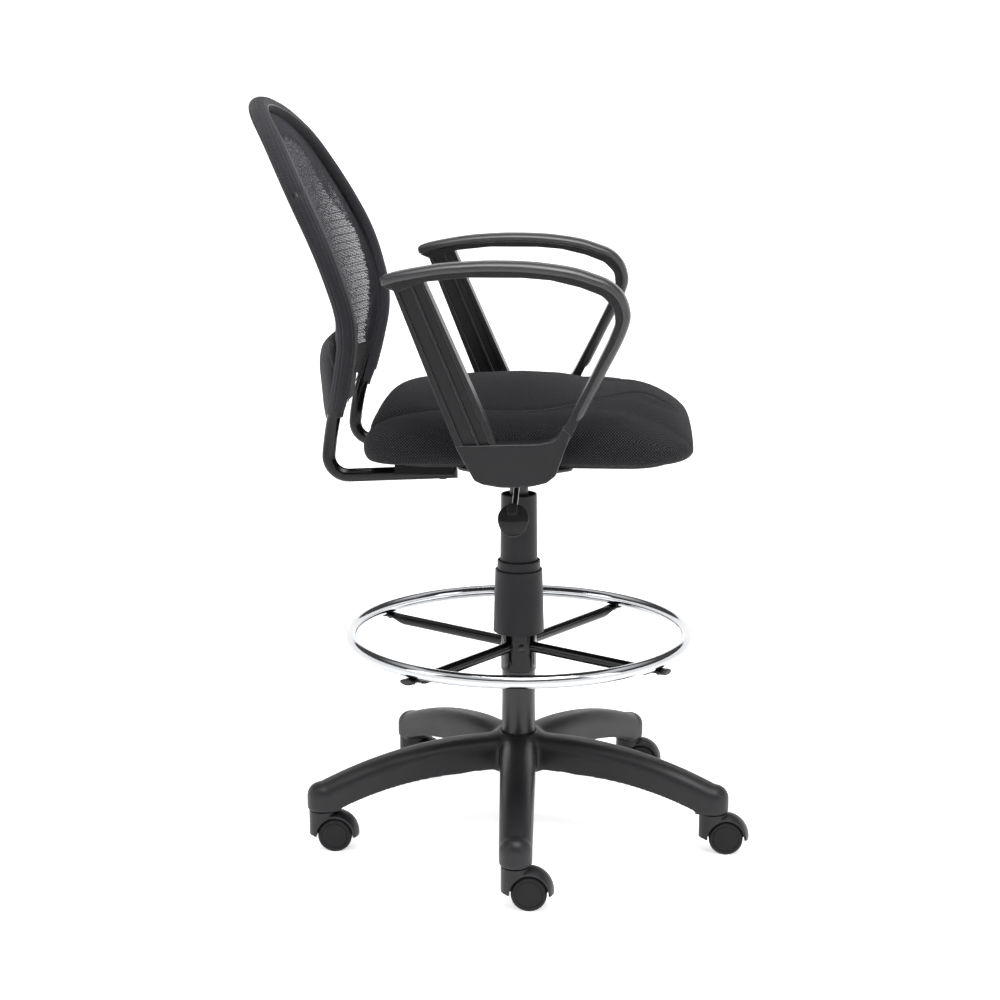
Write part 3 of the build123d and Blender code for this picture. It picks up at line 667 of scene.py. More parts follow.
half_line = rounded(np.vstack([TUBE_CORNERS, TUBE_CORNERS[-1] * (-1, 1, 1)]), 0.004)
half_line = half_line[(half_line[:, 0] > 0.002) & (half_line[:, 2] > HEM_Z)]
tube_line = np.vstack([half_line, (half_line * (-1, 1, 1))[::-1]])
HOOP_MIDDLE = (0, 0, 0.87)


def hoop_directions(line):
    """Toward the middle of the hoop, and forward, both square to the tube at each point of its line."""
    along = directions(line)
    ahead = forward_from(along)
    side = np.cross(along, ahead)
    middle = HOOP_MIDDLE - line
    middle[:, 1] = 0
    return side * np.sign((side * middle).sum(1))[:, None], ahead


inward, front = hoop_directions(tube_line)

BORDER_HALF_N, BORDER_HALF_F, BORDER_AHEAD = 0.0112, 0.0134, 0.0012
BORDER_SIDES = 72
BORDER_ROUND = 0.08  # of cloth round the sleeve
RIB_TURNS = np.radians((128, 152, 176, 200, 224, 250))  # lengthwise grooves on the sleeve's outside
BAND_TURN = math.radians(-6)  # where the band leaves the sleeve
JOIN_Z = 0.962  # where its cloth is joined, on the outside


def border_ring(centre, into, ahead, size):
    """One section of the knit sleeve: an oval with fine lengthwise grooves."""
    ring = []
    for turn in np.linspace(0, 2 * math.pi, BORDER_SIDES, endpoint=False):
        dent = 0.0011 * sum(math.exp(-((turn - rib) / 0.055) ** 2) for rib in RIB_TURNS)
        dent += 0.0022 * math.exp(-((centre[2] - JOIN_Z) / 0.004) ** 2) * max(0.0, -math.cos(turn + 0.5))
        wrapped = (turn - BAND_TURN + math.pi) % (2 * math.pi) - math.pi
        dent += 0.0016 * math.exp(-(wrapped / 0.12) ** 2)
        n = (BORDER_HALF_N * size - dent) * math.cos(turn)
        f = (BORDER_HALF_F * size - dent) * math.sin(turn)
        ring.append(centre + into * n + ahead * (f + BORDER_AHEAD))
    return ring


def hem_size(index):
    """The sleeve narrows where it is gathered on the tube at each hem."""
    from_hem = min(index, len(tube_line) - 1 - index)
    return 0.86 + 0.14 * float(smoothstep(from_hem, 0, 13)) - 0.03 * math.exp(-((from_hem - 2) / 1.2) ** 2)


def back_border():
    lengths = travelled(tube_line)
    rings, pattern = [], []
    for i, centre in enumerate(tube_line):
        rings.append(border_ring(centre, inward[i], front[i], hem_size(i)))
        pattern += [(lengths[i], BORDER_ROUND * j / BORDER_SIDES, 0) for j in range(BORDER_SIDES)]
    piece = add_mesh("back_border_knit", *bridge(rings, capped=False), pattern)
    outward(piece)
    modify(piece, "SOLIDIFY", thickness=0.0012, offset=-1)
    return piece


border = back_border()
border_look = knit("border_knit", (0.017, 0.017, 0.0215), 420.0, 320.0, 0.0004, sheen=0.12, light=2.8)
dress(border, border_look, "seat", "border_fabric", "back_border")

PIPING_TURN = math.radians(86)
across = BORDER_HALF_N * math.cos(PIPING_TURN)
ahead = BORDER_HALF_F * math.sin(PIPING_TURN) + BORDER_AHEAD + 0.0002
between_hems = slice(6, -6)
back_cord = (tube_line + inward * across + front * ahead)[between_hems]
# the border piping and the pocket seams are real cords; their pale grey colour is a painted highlight along
# them
trim_highlight_look = knit("trim_cord_painted_highlight", (0.17, 0.17, 0.18), 900.0, 900.0, 0.0001, 0.6)
dress(tube("back_piping", back_cord, 0.0008), trim_highlight_look, "seat", "border_fabric")

# the stretched surface: each height spans the hoop, and sags backward between its sides
SPAN_X, SPAN_Y, SPAN_Z = half_line.T
DEEPEST_SAG = 0.036


def sag(z):
    """How far the middle hangs behind the tube's sides."""
    return DEEPEST_SAG * smoothstep(1.085 - z, 0.0, 0.2) * (0.35 + 0.65 * smoothstep(z, 0.64, 0.76))


def back_surface(x, z):
    """Points of the stretched surface at x and z."""
    half = np.maximum(np.interp(z, SPAN_Z, SPAN_X), 0.01)
    y = np.interp(z, SPAN_Z, SPAN_Y) + sag(z) * (1 - np.clip(np.abs(x) / half, 0, 1) ** 2)
    return np.stack([x, y, z], axis=-1)


def half_width(z, inset):
    """Half the width of the opening at height z, inset from the tube's line all round."""
    moved = half_line + inward[: len(half_line)] * inset
    ranked = np.argsort(moved[:, 2])
    return np.interp(z, moved[ranked, 2], moved[ranked, 0], right=-1.0)


def thread(points, faces, line, width, thick, shift):
    """Adds one four-sided thread along a line on the back surface."""
    along = directions(line)
    ahead = forward_from(along)
    side = np.cross(along, ahead)
    rings = [
        [c + s * width / 2, c + a * thick / 2, c - s * width / 2, c - a * thick / 2]
        for c, s, a in zip(line + ahead * shift, side, ahead)
    ]
    more, quads = bridge(rings)
    base = len(points)
    points += more
    faces += [tuple(base + k for k in quad) for quad in quads]


MESH_INSET = 0.009
MESH_BOTTOM_Z, MESH_TOP_Z = 0.712, 1.078
THREAD_LEAN = math.radians(56)  # of the two crossing families
THREAD_PITCH, THREAD_W, THREAD_T = 0.0024, 0.0010, 0.0007
THREAD_REACH, THREAD_STEP = 0.36, 0.007  # where the outermost threads start, and their points' spacing
ROW_PITCH, ROW_W, ROW_T, ROW_STEP = 0.0036, 0.0007, 0.0003, 0.009
SHORTEST_ROW = 0.02


def runs(inside):
    """Stretches of consecutive true values, at least three long."""
    edges = np.flatnonzero(np.diff(np.r_[False, inside, False].astype(int)))
    return [slice(a, b) for a, b in zip(edges[::2], edges[1::2]) if b - a > 2]


def mesh_strands():
    """Two crossing families of fine threads and a family of rows, laid on the back surface."""
    points, faces = [], []
    heights = np.arange(MESH_BOTTOM_Z, MESH_TOP_Z, THREAD_STEP)
    for family in (-1, 1):
        for offset in np.arange(-THREAD_REACH, THREAD_REACH, THREAD_PITCH / math.sin(THREAD_LEAN)):
            x = offset + family * (heights - 0.9) / math.tan(THREAD_LEAN)
            inside = np.abs(x) < half_width(heights, MESH_INSET)
            for run in runs(inside):
                thread(points, faces, back_surface(x[run], heights[run]), THREAD_W, THREAD_T, 0.0002 * family)
    for z in np.arange(MESH_BOTTOM_Z, MESH_TOP_Z, ROW_PITCH):
        half = float(half_width(np.array([z]), MESH_INSET)[0])
        if half < SHORTEST_ROW:
            continue
        x = np.linspace(-half, half, max(int(2 * half / ROW_STEP), 6))
        thread(points, faces, back_surface(x, np.full(len(x), z)), ROW_W, ROW_T, 0.0)
    return add_mesh("back_mesh_knit", points, faces)


mesh_look = Look("mesh_yarn", (0.022, 0.022, 0.0255), 0.6, specular=0.2)
flecks = mesh_look.spread(mesh_look.noise(380.0, 1.0), 0.0, 1.0, 0.44, 0.66)
mesh_look.tint(flecks, 0.5, 4.5)
mesh_look.bump(mesh_look.noise(3000.0, 1.0), 0.00005, 0.5)
mesh_look.keep(Sheen_Weight=0.05, Sheen_Roughness=0.4)
back_mesh = mesh_strands()
dress(back_mesh, mesh_look, "seat", "mesh_fabric", "back_mesh")


# how far the dense knit reaches in from the tube's line, by height, in mm
BAND_WIDTH = np.array([
    (712, 34), (786, 34), (843, 25), (895, 24), (926, 38), (957, 52), (985, 56), (1008, 56), (1060, 40),
]) * MM
BAND_PITCH, BAND_FRAY = 0.0016, 0.012


def back_band():
    """The denser knit that frames the mesh, ending in a ragged row of threads."""
    points, faces = [], []
    draw = np.random.default_rng(11)
    use = tube_line[:, 2] > MESH_BOTTOM_Z
    line, into_middle = tube_line[use], inward[use]
    lengths = travelled(line)
    for at in np.arange(0.002, lengths[-1] - 0.002, BAND_PITCH):
        centre, into = read_off(line, lengths, at), read_off(into_middle, lengths, at)
        reach = float(np.interp(centre[2], *BAND_WIDTH.T)) + BAND_FRAY * draw.random()
        spots = centre + into * np.linspace(0.009, reach, 9)[:, None]
        spots[:, 2] = np.minimum(spots[:, 2], MESH_TOP_Z + 0.003)
        thread(points, faces, back_surface(spots[:, 0], spots[:, 2]), 0.0015, 0.0006, 0.0004)
    return add_mesh("back_band_knit", points, faces)


band_look = Look("band_yarn", (0.019, 0.019, 0.024), 0.7, specular=0.2)
band_look.tint(band_look.noise(400.0, 2.0), 0.5, 1.6)
band_look.bump(band_look.noise(2600.0, 1.0), 0.00005, 0.5)
back_band_piece = back_band()
dress(back_band_piece, band_look, "seat", "border_fabric")

PANEL_LOW_Z, PANEL_TOP_Z, PANEL_INSET = 0.668, 0.724, 0.0095
PANEL_ARCH = 0.024  # how much higher its lower edge is in the middle
PANEL_ROWS, PANEL_COLUMNS = 24, 64


def lower_panel():
    """Smooth cloth between the tube's legs, from the mesh's lower edge to the hems."""
    points, pattern = [], []
    for z in np.linspace(PANEL_LOW_Z, PANEL_TOP_Z, PANEL_ROWS):
        limit = float(np.interp(z, SPAN_Z, SPAN_X)) - PANEL_INSET
        xs = np.linspace(-limit, limit, PANEL_COLUMNS)
        arch = PANEL_ARCH * (1 - (np.abs(xs) / limit) ** 4)
        spots = back_surface(xs, z + arch * (PANEL_TOP_Z - z) / (PANEL_TOP_Z - PANEL_LOW_Z))
        crease = 0.0009 * np.sin(xs / 0.021 + 3 * np.sin(z / 0.02)) * smoothstep(np.abs(xs), 0.04, 0.09)
        spots[:, 1] += crease * (1 - smoothstep(np.abs(xs), limit - 0.02, limit))
        points += list(spots)
        pattern += [(z, x, 0) for x in xs]
    firsts = [i * PANEL_COLUMNS + j for i in range(PANEL_ROWS - 1) for j in range(PANEL_COLUMNS - 1)]
    faces = [(a, a + 1, a + 1 + PANEL_COLUMNS, a + PANEL_COLUMNS) for a in firsts]
    piece = add_mesh("back_lower_cloth", points, faces, pattern)
    modify(piece, "SOLIDIFY", thickness=0.0014, offset=0)
    return piece


panel_look = knit("smooth_cloth", (0.011, 0.011, 0.013), 900.0, 900.0, 0.0001, 0.7, sheen=0.03)
panel = lower_panel()
dress(panel, panel_look, "seat", "panel_fabric", "back_lower_panel")


# ---- lumbar pad -----------------------------------------------------------
LUMBAR_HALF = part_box("lumbar_pad")[1][0]
# rear face of the pocket: height and y, from the bottom hem to where it meets the mesh
LUMBAR_REAR = np.array([
    (640, 277), (657, 279), (686, 282), (716, 285), (729, 285), (748, 281), (757, 272),
]) * MM


def lumbar():
    """A stuffed pocket on the rear of the cloth, closed by a gusset at each end."""
    heights = np.linspace(LUMBAR_REAR[0, 0] + 0.004, LUMBAR_REAR[-1, 0], 36)
    rings = []
    for z in heights:
        ring = []
        rear = float(np.interp(z, *LUMBAR_REAR.T))
        for turn in np.linspace(0, 2 * math.pi, 96, endpoint=False):
            x = LUMBAR_HALF * math.copysign(abs(math.cos(turn)) ** 0.6, math.cos(turn))
            near = float(back_surface(np.array([x]), np.array([z]))[0, 1]) + 0.0012
            edge = 1 - (abs(x) / LUMBAR_HALF) ** 5
            bow = 0.006 * (abs(x) / LUMBAR_HALF) ** 2
            deep = max(rear - bow - near, 0.002) * (0.25 + 0.75 * max(edge, 0) ** 0.5)
            y = near + (deep * abs(math.sin(turn)) ** 0.35 if math.sin(turn) > 0 else 0)
            ring.append(np.array((x, y, z)))
        rings.append(ring)
    piece = add_mesh("lumbar_pocket", *bridge(rings))
    outward(piece)

    def on_cloth(p):
        return p[:, 1] < back_surface(p[:, 0], p[:, 2])[:, 1] + 0.005

    puff(piece, 3.0, 0.004, voxel=0.004, pinned=on_cloth)
    return piece


pocket = lumbar()
lumbar_look = knit(
    "pocket_cloth", (0.021, 0.021, 0.0255), 380.0, 380.0, 0.0005, place=box_mapped, sheen=0.1, light=4.5,
)
dress(pocket, lumbar_look, "seat", "lumbar_fabric", "lumbar_pad")

# two seams close each end of the pocket and meet low down: y and height in mm, seen from the side
POCKET_SEAMS = (
    [(260.0, 765), (261.2, 756), (259.3, 744), (257.0, 733), (254.4, 722.5)],
    [(252.5, 765), (249.5, 757), (249.0, 747), (249.5, 737.5), (251.5, 727), (253.7, 720)],
)
pocket_skin = surface_tree(pocket)
for side, word in ((-1, "right"), (1, "left")):
    for number, seam in enumerate(POCKET_SEAMS, 1):
        line = []
        for y, z in fitted(seam, 40):
            hit = pocket_skin.ray_cast(Vector((0.4 * side, y, z)), Vector((-side, 0, 0)))[0]
            if hit:
                line.append(hit + Vector((0.0004 * side, 0, 0)))
        if len(line) > 3:
            dress(tube(f"pocket_seam_{word}_{number}", line, SEAM_RADIUS), trim_highlight_look, "seat", "lumbar_fabric")


# ---- arms -----------------------------------------------------------------
ARM_X = 0.252
LOOP_HALF, WEB_HALF, BRACKET_HALF, PAD_HALF = 0.0163, 0.0105, 0.0184, 0.0245
# outlines in the arm's plane: forward of the column and height, in mm
LOOP_OUTER = [(-166, 850), (-166, 856), (-140, 866), (-98, 871.5), (-22, 876.5), (29, 874.5), (78, 868.5),
              (126, 854), (143, 841), (152, 823), (154, 806), (143, 779), (125, 742), (97, 684), (82, 652),
              (67, 622), (58, 602), (40, 592), (0, 588), (-36, 590), (-70, 633), (-153, 845)]
LOOP_OUTER_R = [2, 2] + [20] * 17 + [8, 12, 2]
LOOP_INNER = [(-113, 857), (-57, 863), (16, 863), (54, 860), (92, 851), (121, 840), (137, 824),
              (139, 802), (129, 777), (103, 723), (79, 676), (66, 652), (46, 642), (20, 641), (-17, 640)]
LOOP_INNER_R = [1.5] + [20] * 10 + [9, 16, 20, 1.5]
# the rear strut's flutes, between these distances across it and these along it
FLUTES_ACROSS = ((187.0, 204.8), (207.8, 220.5))
FLUTES_ALONG = (598, 836)
STRUT_LEAN = math.radians(22.5)
BRACKET = [(-73, 639), (0, 641.5), (40, 642.5), (60, 647), (72, 664), (81, 655), (62, 600), (50, 590),
           (30, 585), (0, 583), (-12, 583), (-36, 587), (-47, 592)]
BRACKET_R = [2.5, 30, 20, 14, 2.5, 4, 12, 12, 30, 30, 30, 12, 6]
PAD_PATH = [(-170, 856.5), (-148, 863.5), (-98, 872.5), (-60, 876), (-22, 877.5), (29, 876),
            (79, 869.5), (110, 860.5), (129, 853), (144, 840), (152, 823), (153, 806), (143, 778),
            (124, 741), (104, 700), (91, 673)]
PAD_NECK_HALF, PAD_THICK = 0.0178, 0.0066  # half width down the front, and half thickness
WEB_MARGIN = 2  # mm that the web reaches past the flutes
FLANGE_X, FLANGE_Y, FLANGE_Z = (150, 242), (-83, 75), (592.3, 597)  # mm, under the pan
FLANGE_NECK_X, FLANGE_TIP_Y, FLANGE_CORNER = 196, (-30, 26), 14


def rounded_polygon(corners, radii):
    """A closed outline in metres with an arc at each corner; corners and radii are in mm."""
    corners = np.array(corners, float)
    radii = np.broadcast_to(radii, len(corners))
    outline = []
    for i, corner in enumerate(corners):
        outline += corner_arc(corners[i - 1], corner, corners[(i + 1) % len(corners)], 0.48, radii[i])
    return np.array(outline) * MM


def strut_box(across, along, radius):
    """A rounded box in the rear strut's own directions."""
    over = np.array((math.cos(STRUT_LEAN), math.sin(STRUT_LEAN)))
    up = np.array((-over[1], over[0]))
    corners = [over * a + up * t for a, t in (
        (across[0], along[0]), (across[1], along[0]), (across[1], along[1]), (across[0], along[1]))]
    return rounded_polygon(corners, radius)


def plate(name, outlines, half, edge, side):
    """A flat moulding in the arm's plane with rounded rims, mirrored for side -1."""
    curve = bpy.data.curves.new(name, "CURVE")
    curve.dimensions, curve.fill_mode = "2D", "BOTH"
    curve.extrude, curve.bevel_depth, curve.bevel_resolution, curve.offset = half - edge, edge, 3, -edge
    for outline in outlines:
        spline = curve.splines.new("POLY")
        spline.points.add(len(outline) - 1)
        spline.points.foreach_set("co", np.c_[outline, np.zeros(len(outline)), np.ones(len(outline))].ravel())
        spline.use_cyclic_u = True
    holder = placed(name + "_curve", curve)
    graph = bpy.context.evaluated_depsgraph_get()
    mesh = bpy.data.meshes.new_from_object(holder.evaluated_get(graph))
    bpy.data.objects.remove(holder)
    piece = placed(name, mesh)
    flat = coordinates(piece)
    set_coordinates(piece, np.c_[side * (ARM_X + flat[:, 2]), -flat[:, 0], flat[:, 1]])
    modify(piece, "WELD", merge_threshold=0.00005)
    outward(piece)
    flat_faces(piece)
    return piece


def flat_faces(piece):
    """Keeps the big flat sides flat in shading while the rims stay smooth."""
    piece.data.set_sharp_from_angle(angle=math.radians(50))
    piece.modifiers.new("weighted", "WEIGHTED_NORMAL").keep_sharp = True


def arm_pad(name, side):
    """The soft strip over the loop: broad and crowned on top, narrower down the front."""
    line = fitted(PAD_PATH, 150)
    along = directions(line)
    out = np.c_[-along[:, 1], along[:, 0]]
    lengths = travelled(line)
    rings = []
    for spot, normal, at in zip(line, out, lengths):
        front_end = max(0.0, 1 - (lengths[-1] - at) / 0.012)
        rear_end = max(0.0, 1 - at / 0.005)
        slim = float(smoothstep(at, 0.27, 0.40))
        half = PAD_HALF * (1 - slim) + PAD_NECK_HALF * slim
        half *= 0.84 + 0.16 * float(smoothstep(at, 0.0, 0.04))
        half *= (1 - 0.14 * rear_end ** 2) * (1 - 0.06 * front_end)
        thick = PAD_THICK * (1 - 0.3 * rear_end ** 2) * (1 - 0.8 * front_end ** 2) * (1 - 0.25 * slim)
        ring = []
        for turn in np.linspace(0, 2 * math.pi, 40, endpoint=False):
            w = half * math.copysign(abs(math.cos(turn)) ** 0.5, math.cos(turn))
            h = thick * math.copysign(abs(math.sin(turn)) ** 0.6, math.sin(turn))
            h -= 0.0022 * (w / half) ** 4
            place = spot + normal * h
            ring.append(np.array((side * (ARM_X + w), -place[0], place[1])))
        rings.append(ring)
    piece = add_mesh(name, *bridge(rings))
    outward(piece)
    return piece


def arm_flange(name, side):
    """The plate that carries the arm under the pan, narrower outward, with rounded corners and rims."""
    (x0, x1), (y0, y1), (z0, z1) = FLANGE_X, FLANGE_Y, FLANGE_Z
    tip_low, tip_high = FLANGE_TIP_Y
    corners = [(x0, y0), (x0, y1), (FLANGE_NECK_X, y1), (x1, tip_high), (x1, tip_low), (FLANGE_NECK_X, y0)]
    outline = rounded_polygon(corners, FLANGE_CORNER)
    middle = outline.mean(axis=0)
    rings = []
    rim = ((1.2, 0), (0.4, 0.4), (0, 1.2))
    for inset, z in [(i, z0 + h) for i, h in rim] + [(i, z1 - h) for i, h in rim[::-1]]:
        shrunk = middle + (outline - middle) * (1 - inset / 45)
        rings.append(np.c_[side * shrunk[:, 0], shrunk[:, 1], np.full(len(shrunk), z * MM)])
    piece = add_mesh(name, *bridge(rings))
    outward(piece)
    flat_faces(piece)
    return piece


arm_look = moulded("arm_moulding", (0.0068, 0.0068, 0.008), 0.36, 0.00004, 1200.0, specular=0.25)
# painted highlights: the arm's rounded rims are coloured lighter to stand in for the light they catch
arm_look.painted_rim_highlights(9.0)
pad_look = moulded("soft_arm_pad", (0.0135, 0.0135, 0.015), 0.36, 0.00012, 700.0, specular=0.6)
outer, inner = rounded_polygon(LOOP_OUTER, LOOP_OUTER_R), rounded_polygon(LOOP_INNER, LOOP_INNER_R)
flutes = [strut_box(across, FLUTES_ALONG, 1.5) for across in FLUTES_ACROSS]
web_across = (FLUTES_ACROSS[0][0] - WEB_MARGIN, FLUTES_ACROSS[1][1] + WEB_MARGIN)
web_along = (FLUTES_ALONG[0] - WEB_MARGIN, FLUTES_ALONG[1] + WEB_MARGIN)
web = strut_box(web_across, web_along, 3)
for side, word in ((-1, "right"), (1, "left")):
    loop = plate(f"arm_loop_{word}", [outer, inner, *flutes], LOOP_HALF, 0.0012, side)
    dress(loop, arm_look, "seat", "arm_plastic", f"arm_frame_{word}")
    filler = plate(f"arm_web_{word}", [web], WEB_HALF, 0.001, side)
    dress(filler, arm_look, "seat", "arm_plastic")
    bracket = plate(f"arm_bracket_{word}", [rounded_polygon(BRACKET, BRACKET_R)], BRACKET_HALF, 0.002, side)
    dress(bracket, arm_look, "seat", "arm_plastic")
    flange = arm_flange(f"arm_flange_{word}", side)
    dress(flange, arm_look, "seat", "arm_plastic")
    pad = arm_pad(f"arm_rest_{word}", side)
    dress(pad, pad_look, "seat", "arm_pad_soft", f"arm_pad_{word}")


# ---- base -----------------------------------------------------------------
HUB_BLEND = ((0.03, 0.034), (0.06, 0.105))  # distances over which the hub's blend comes in and goes out
MELT_STEPS = 130


def cad_copy(node, name):
    """A new object with a CAD node's mesh, in the shared frame."""
    source = frame["nodes"][node]
    mesh = source.data.copy()
    mesh.transform(source.matrix_world)
    return placed(name, mesh)


def stand_in(piece, node):
    """Gives a piece the look and body of the one CAD node that it stands for, and hides that node."""
    slot = slot_of[node]
    dress(piece, LOOKS[slot], body_of(frame["nodes"][node])[0], slot, node)


def welded_copy(node, name):
    piece = cad_copy(node, name)
    modify(piece, "WELD", merge_threshold=0.00001)
    return piece


def plain_copy(node, name):
    """A welded copy without the edges that only divide flat faces."""
    piece = welded_copy(node, name)
    modify(piece, "DECIMATE", decimate_type="DISSOLVE", angle_limit=math.radians(1))
    return piece


def softened_copy(node, voxel, everywhere, blend=None):
    """A copy of a CAD node with melted edges; blend(points) gives 0..1 where it melts further."""
    piece = welded_copy(node, node + "_soft")
    modify(piece, "REMESH", mode="VOXEL", voxel_size=voxel)
    modify(piece, "SMOOTH", factor=0.5, iterations=everywhere)
    if blend is None:
        return piece
    group = piece.vertex_groups.new(name="melt")
    for index, weight in enumerate(blend(coordinates(piece))):
        if weight > 0.01:
            group.add([index], float(weight), "REPLACE")
    modify(piece, "SMOOTH", factor=0.5, iterations=MELT_STEPS, vertex_group="melt")
    return piece


def hub_blend(points):
    """Strongest where the legs run into the hub, none at the tube's mouth or along the legs."""
    out = np.hypot(points[:, 0], points[:, 1])
    return smoothstep(out, *HUB_BLEND[0]) * (1 - smoothstep(out, *HUB_BLEND[1]))


stand_in(softened_copy("base_star", 0.0016, 8, hub_blend), "base_star")


# ---- parts under the seat and the paddle ----------------------------------
BOLT_SINK = 0.0072
TUBE_X, SADDLE_SLIM = 0.143, 0.6
bolts = cad_copy("back_bolts", "back_bolts_sunk")
set_coordinates(bolts, coordinates(bolts) + (0, 0, BOLT_SINK))
stand_in(bolts, "back_bolts")

saddles = welded_copy("back_saddles", "back_saddles_slim")
spots = coordinates(saddles)
centre = np.sign(spots[:, 0]) * TUBE_X
spots[:, 0] = centre + (spots[:, 0] - centre) * SADDLE_SLIM
set_coordinates(saddles, spots)
modify(saddles, "BEVEL", width=0.0006, segments=2, limit_method="ANGLE", angle_limit=math.radians(40))
flat_faces(saddles)
stand_in(saddles, "back_saddles")

PADDLE_CENTRE = np.array((-0.2145, -0.0025, 0.529))
PADDLE_TILT = math.radians(48)


def lever_paddle():
    """The oval paddle, its face slightly dished and its lower lip turned down."""
    piece = softened_copy("lever_paddle", 0.0009, 3)
    up = np.array((-math.sin(PADDLE_TILT), 0, math.cos(PADDLE_TILT)))
    down = np.array((-math.cos(PADDLE_TILT), 0, -math.sin(PADDLE_TILT)))
    points = coordinates(piece)
    from_centre = points - PADDLE_CENTRE
    height, slope = from_centre @ up, from_centre @ down
    under = smoothstep(-height, -0.0005, 0.002)
    lip = smoothstep(slope, 0.008, 0.0135)
    chamfer = 0.75 * np.clip(slope - 0.006, 0, None) * (1 - under)
    out = np.hypot(from_centre[:, 1], slope)
    dish = 0.0012 * (1 - smoothstep(out, 0.004, 0.016)) * (1 - under)
    points -= up * (0.006 * under * lip + dish + chamfer)[:, None]
    set_coordinates(piece, points)
    return piece


stand_in(lever_paddle(), "lever_paddle")


# ---- foot ring ------------------------------------------------------------
RING_UNDER_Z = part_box("foot_ring")[0][2]
SPOKE_TURN = math.radians(-34)
FLAT_FROM, FLAT_FULL = 0.222, 0.246  # distances from the column


def cut_spokes(piece):
    """Cuts rings of edges into the spokes where they bend."""
    work = bmesh.new()
    work.from_mesh(piece.data)
    for spot in np.linspace(FLAT_FROM, FLAT_FULL, 5):
        for turn in SPOKE_TURN + np.arange(4) * math.pi / 2:
            way = Vector((math.cos(turn), math.sin(turn), 0))
            everything = work.verts[:] + work.edges[:] + work.faces[:]
            bmesh.ops.bisect_plane(work, geom=everything, plane_co=way * spot, plane_no=way)
    work.to_mesh(piece.data)
    work.free()


def crushed(piece):
    """Flattens the outer ends of the spokes against the underside of the ring."""
    points = coordinates(piece)
    out = np.hypot(points[:, 0], points[:, 1])
    flat = smoothstep(out, FLAT_FROM, FLAT_FULL)
    turn = np.arctan2(points[:, 1], points[:, 0]) - SPOKE_TURN
    spoke = np.round(turn / (math.pi / 2)) * math.pi / 2 + SPOKE_TURN
    across = np.c_[-np.sin(spoke), np.cos(spoke)]
    sideways = (points[:, :2] * across).sum(1)
    points[:, :2] += across * (sideways * 0.3 * flat)[:, None]
    points[:, 2] = RING_UNDER_Z - (RING_UNDER_Z - points[:, 2]) * (1 - 0.5 * flat)
    set_coordinates(piece, points)


for node in ("foot_ring_spider", "foot_ring_end_caps", "foot_ring_screws"):
    piece = plain_copy(node, node + "_crushed")
    modify(piece, "TRIANGULATE")
    if node == "foot_ring_spider":
        cut_spokes(piece)
    crushed(piece)
    flat_faces(piece)
    stand_in(piece, node)


# ---- rounded rims on the plain mouldings ----------------------------------
RIMS = {"cover_lower": 0.0007, "cover_middle": 0.0007, "cover_upper": 0.0007}
RIMS.update({node: 0.0008 for node in frame["nodes"] if node.endswith(("_wheel_left", "_wheel_right"))})
RIMS.update({node: 0.0009 for node in frame["nodes"] if node.startswith("caster") and node.endswith("_hood")})


def rimmed_copy(node, width):
    """A copy of a CAD node whose sharp edges are rounded off to width."""
    piece = plain_copy(node, node + "_rimmed")
    modify(piece, "BEVEL", width=width, segments=3, limit_method="ANGLE", angle_limit=math.radians(38),
           use_clamp_overlap=True)
    flat_faces(piece)
    return piece


for node, width in RIMS.items():
    stand_in(rimmed_copy(node, width), node)


# ---- studio ---------------------------------------------------------------
FLOOR_SIDES, FLOOR_FLAT, BACKDROP_BEND = 96, 4.5, 2.0


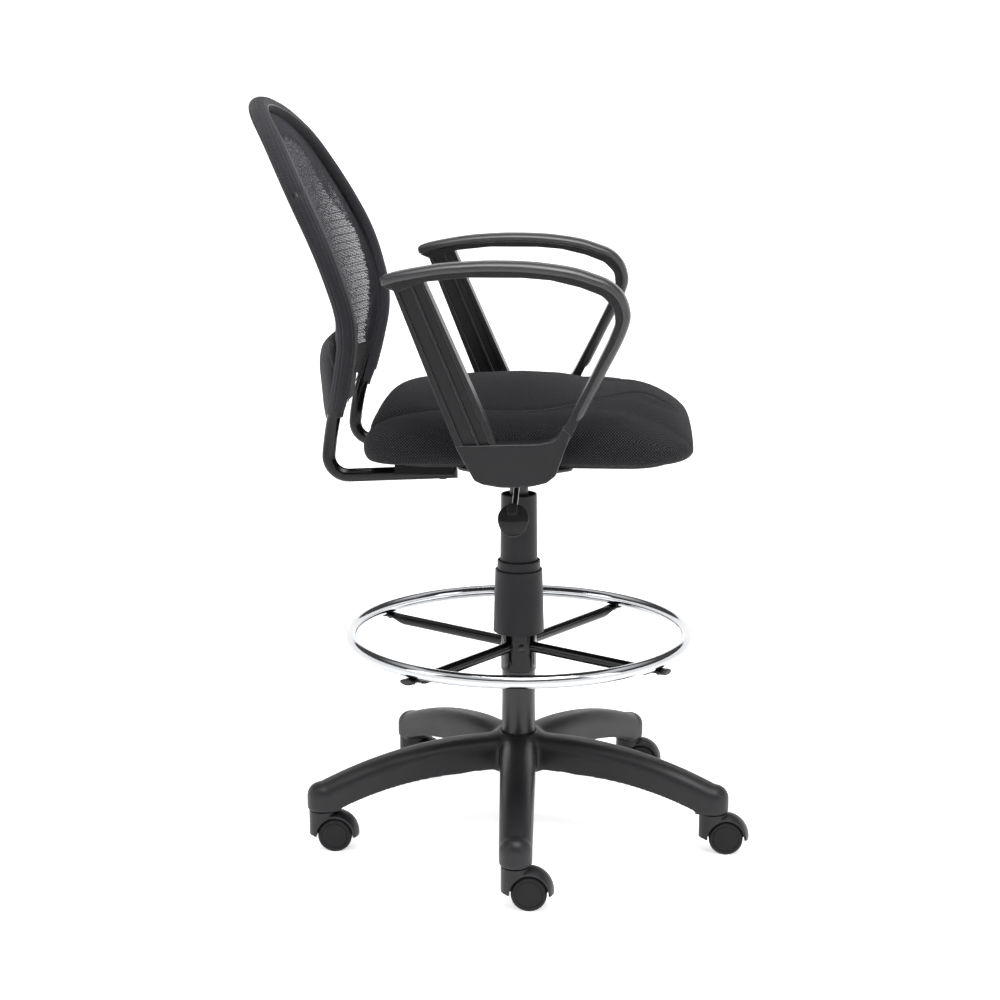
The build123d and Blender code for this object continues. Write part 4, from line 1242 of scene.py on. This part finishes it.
def studio_floor():
    """A wide pale disc whose rim curves up into a low backdrop all round."""
    turns = np.linspace(0.15, 1.57, 10)
    bend = [(FLOOR_FLAT + BACKDROP_BEND * math.sin(t), BACKDROP_BEND * (1 - math.cos(t))) for t in turns]
    profile = [(0.4, 0.0), (2.0, 0.0), (FLOOR_FLAT, 0.0), *bend, (6.5, 2.9)]
    turns = np.linspace(0, 2 * math.pi, FLOOR_SIDES, endpoint=False)
    rings = [[Vector((r * math.cos(a), r * math.sin(a), z)) for a in turns] for r, z in profile]
    points, faces = bridge(rings, capped=False)
    faces.append(tuple(range(FLOOR_SIDES - 1, -1, -1)))
    return add_mesh("studio_floor", points, faces)


floor = studio_floor()
floor_look = Look("pale_floor", (0.93, 0.93, 0.93), 0.7, specular=0.2)
floor_look.tint(floor_look.noise(1.5, 2.0), 0.995, 1.005)
floor_look.keep(Emission_Color=(1, 1, 1, 1), Emission_Strength=0.56)
floor.data.materials.append(floor_look.material)


def lamp(name, place, target, size, power):
    light = bpy.data.lights.new(name, "AREA")
    light.shape = "RECTANGLE"
    light.size, light.size_y = size
    light.energy = power
    holder = placed(name, light)
    holder.location = place
    aim(holder, Vector(target) - Vector(place))


lamp("top_softbox", (-0.6, -0.3, 3.0), (0, 0, 0.5), (1.6, 2.2), 88)
lamp("front_softbox", (-1.6, -2.8, 2.2), (0, 0, 0.6), (1.2, 1.8), 19)
lamp("rear_softbox", (-1.4, 2.8, 2.2), (0, 0, 0.7), (1.2, 1.8), 17)

world = bpy.data.worlds.new("studio_world")
bpy.context.scene.world = world
world.use_nodes = True
sky = world.node_tree.nodes
background = sky["Background"]
background.inputs["Color"].default_value = (1, 1, 1, 1)
# the sky is bright overhead and dim toward the horizon, so that black gloss still reads as black
direction = sky.new("ShaderNodeTexCoord").outputs["Generated"]
split = sky.new("ShaderNodeSeparateXYZ")
world.node_tree.links.new(direction, split.inputs[0])
belt = sky.new("ShaderNodeMapRange")
for key, value in (("From Min", 0.62), ("From Max", 0.8), ("To Min", 0.1), ("To Max", 1.0)):
    belt.inputs[key].default_value = value
world.node_tree.links.new(split.outputs[2], belt.inputs["Value"])
world.node_tree.links.new(belt.outputs["Result"], background.inputs["Strength"])
bpy.context.scene.view_settings.view_transform = "Standard"

camera_data = bpy.data.cameras.new("camera")
camera_data.sensor_width = 36.0
camera_data.lens = 70.6
camera = placed("camera", camera_data)
camera.location = (-2.8327, -0.1361, 1.110)
aim(camera, Vector((0.97669, 0.05661, -0.20706)))
bpy.context.scene.camera = camera
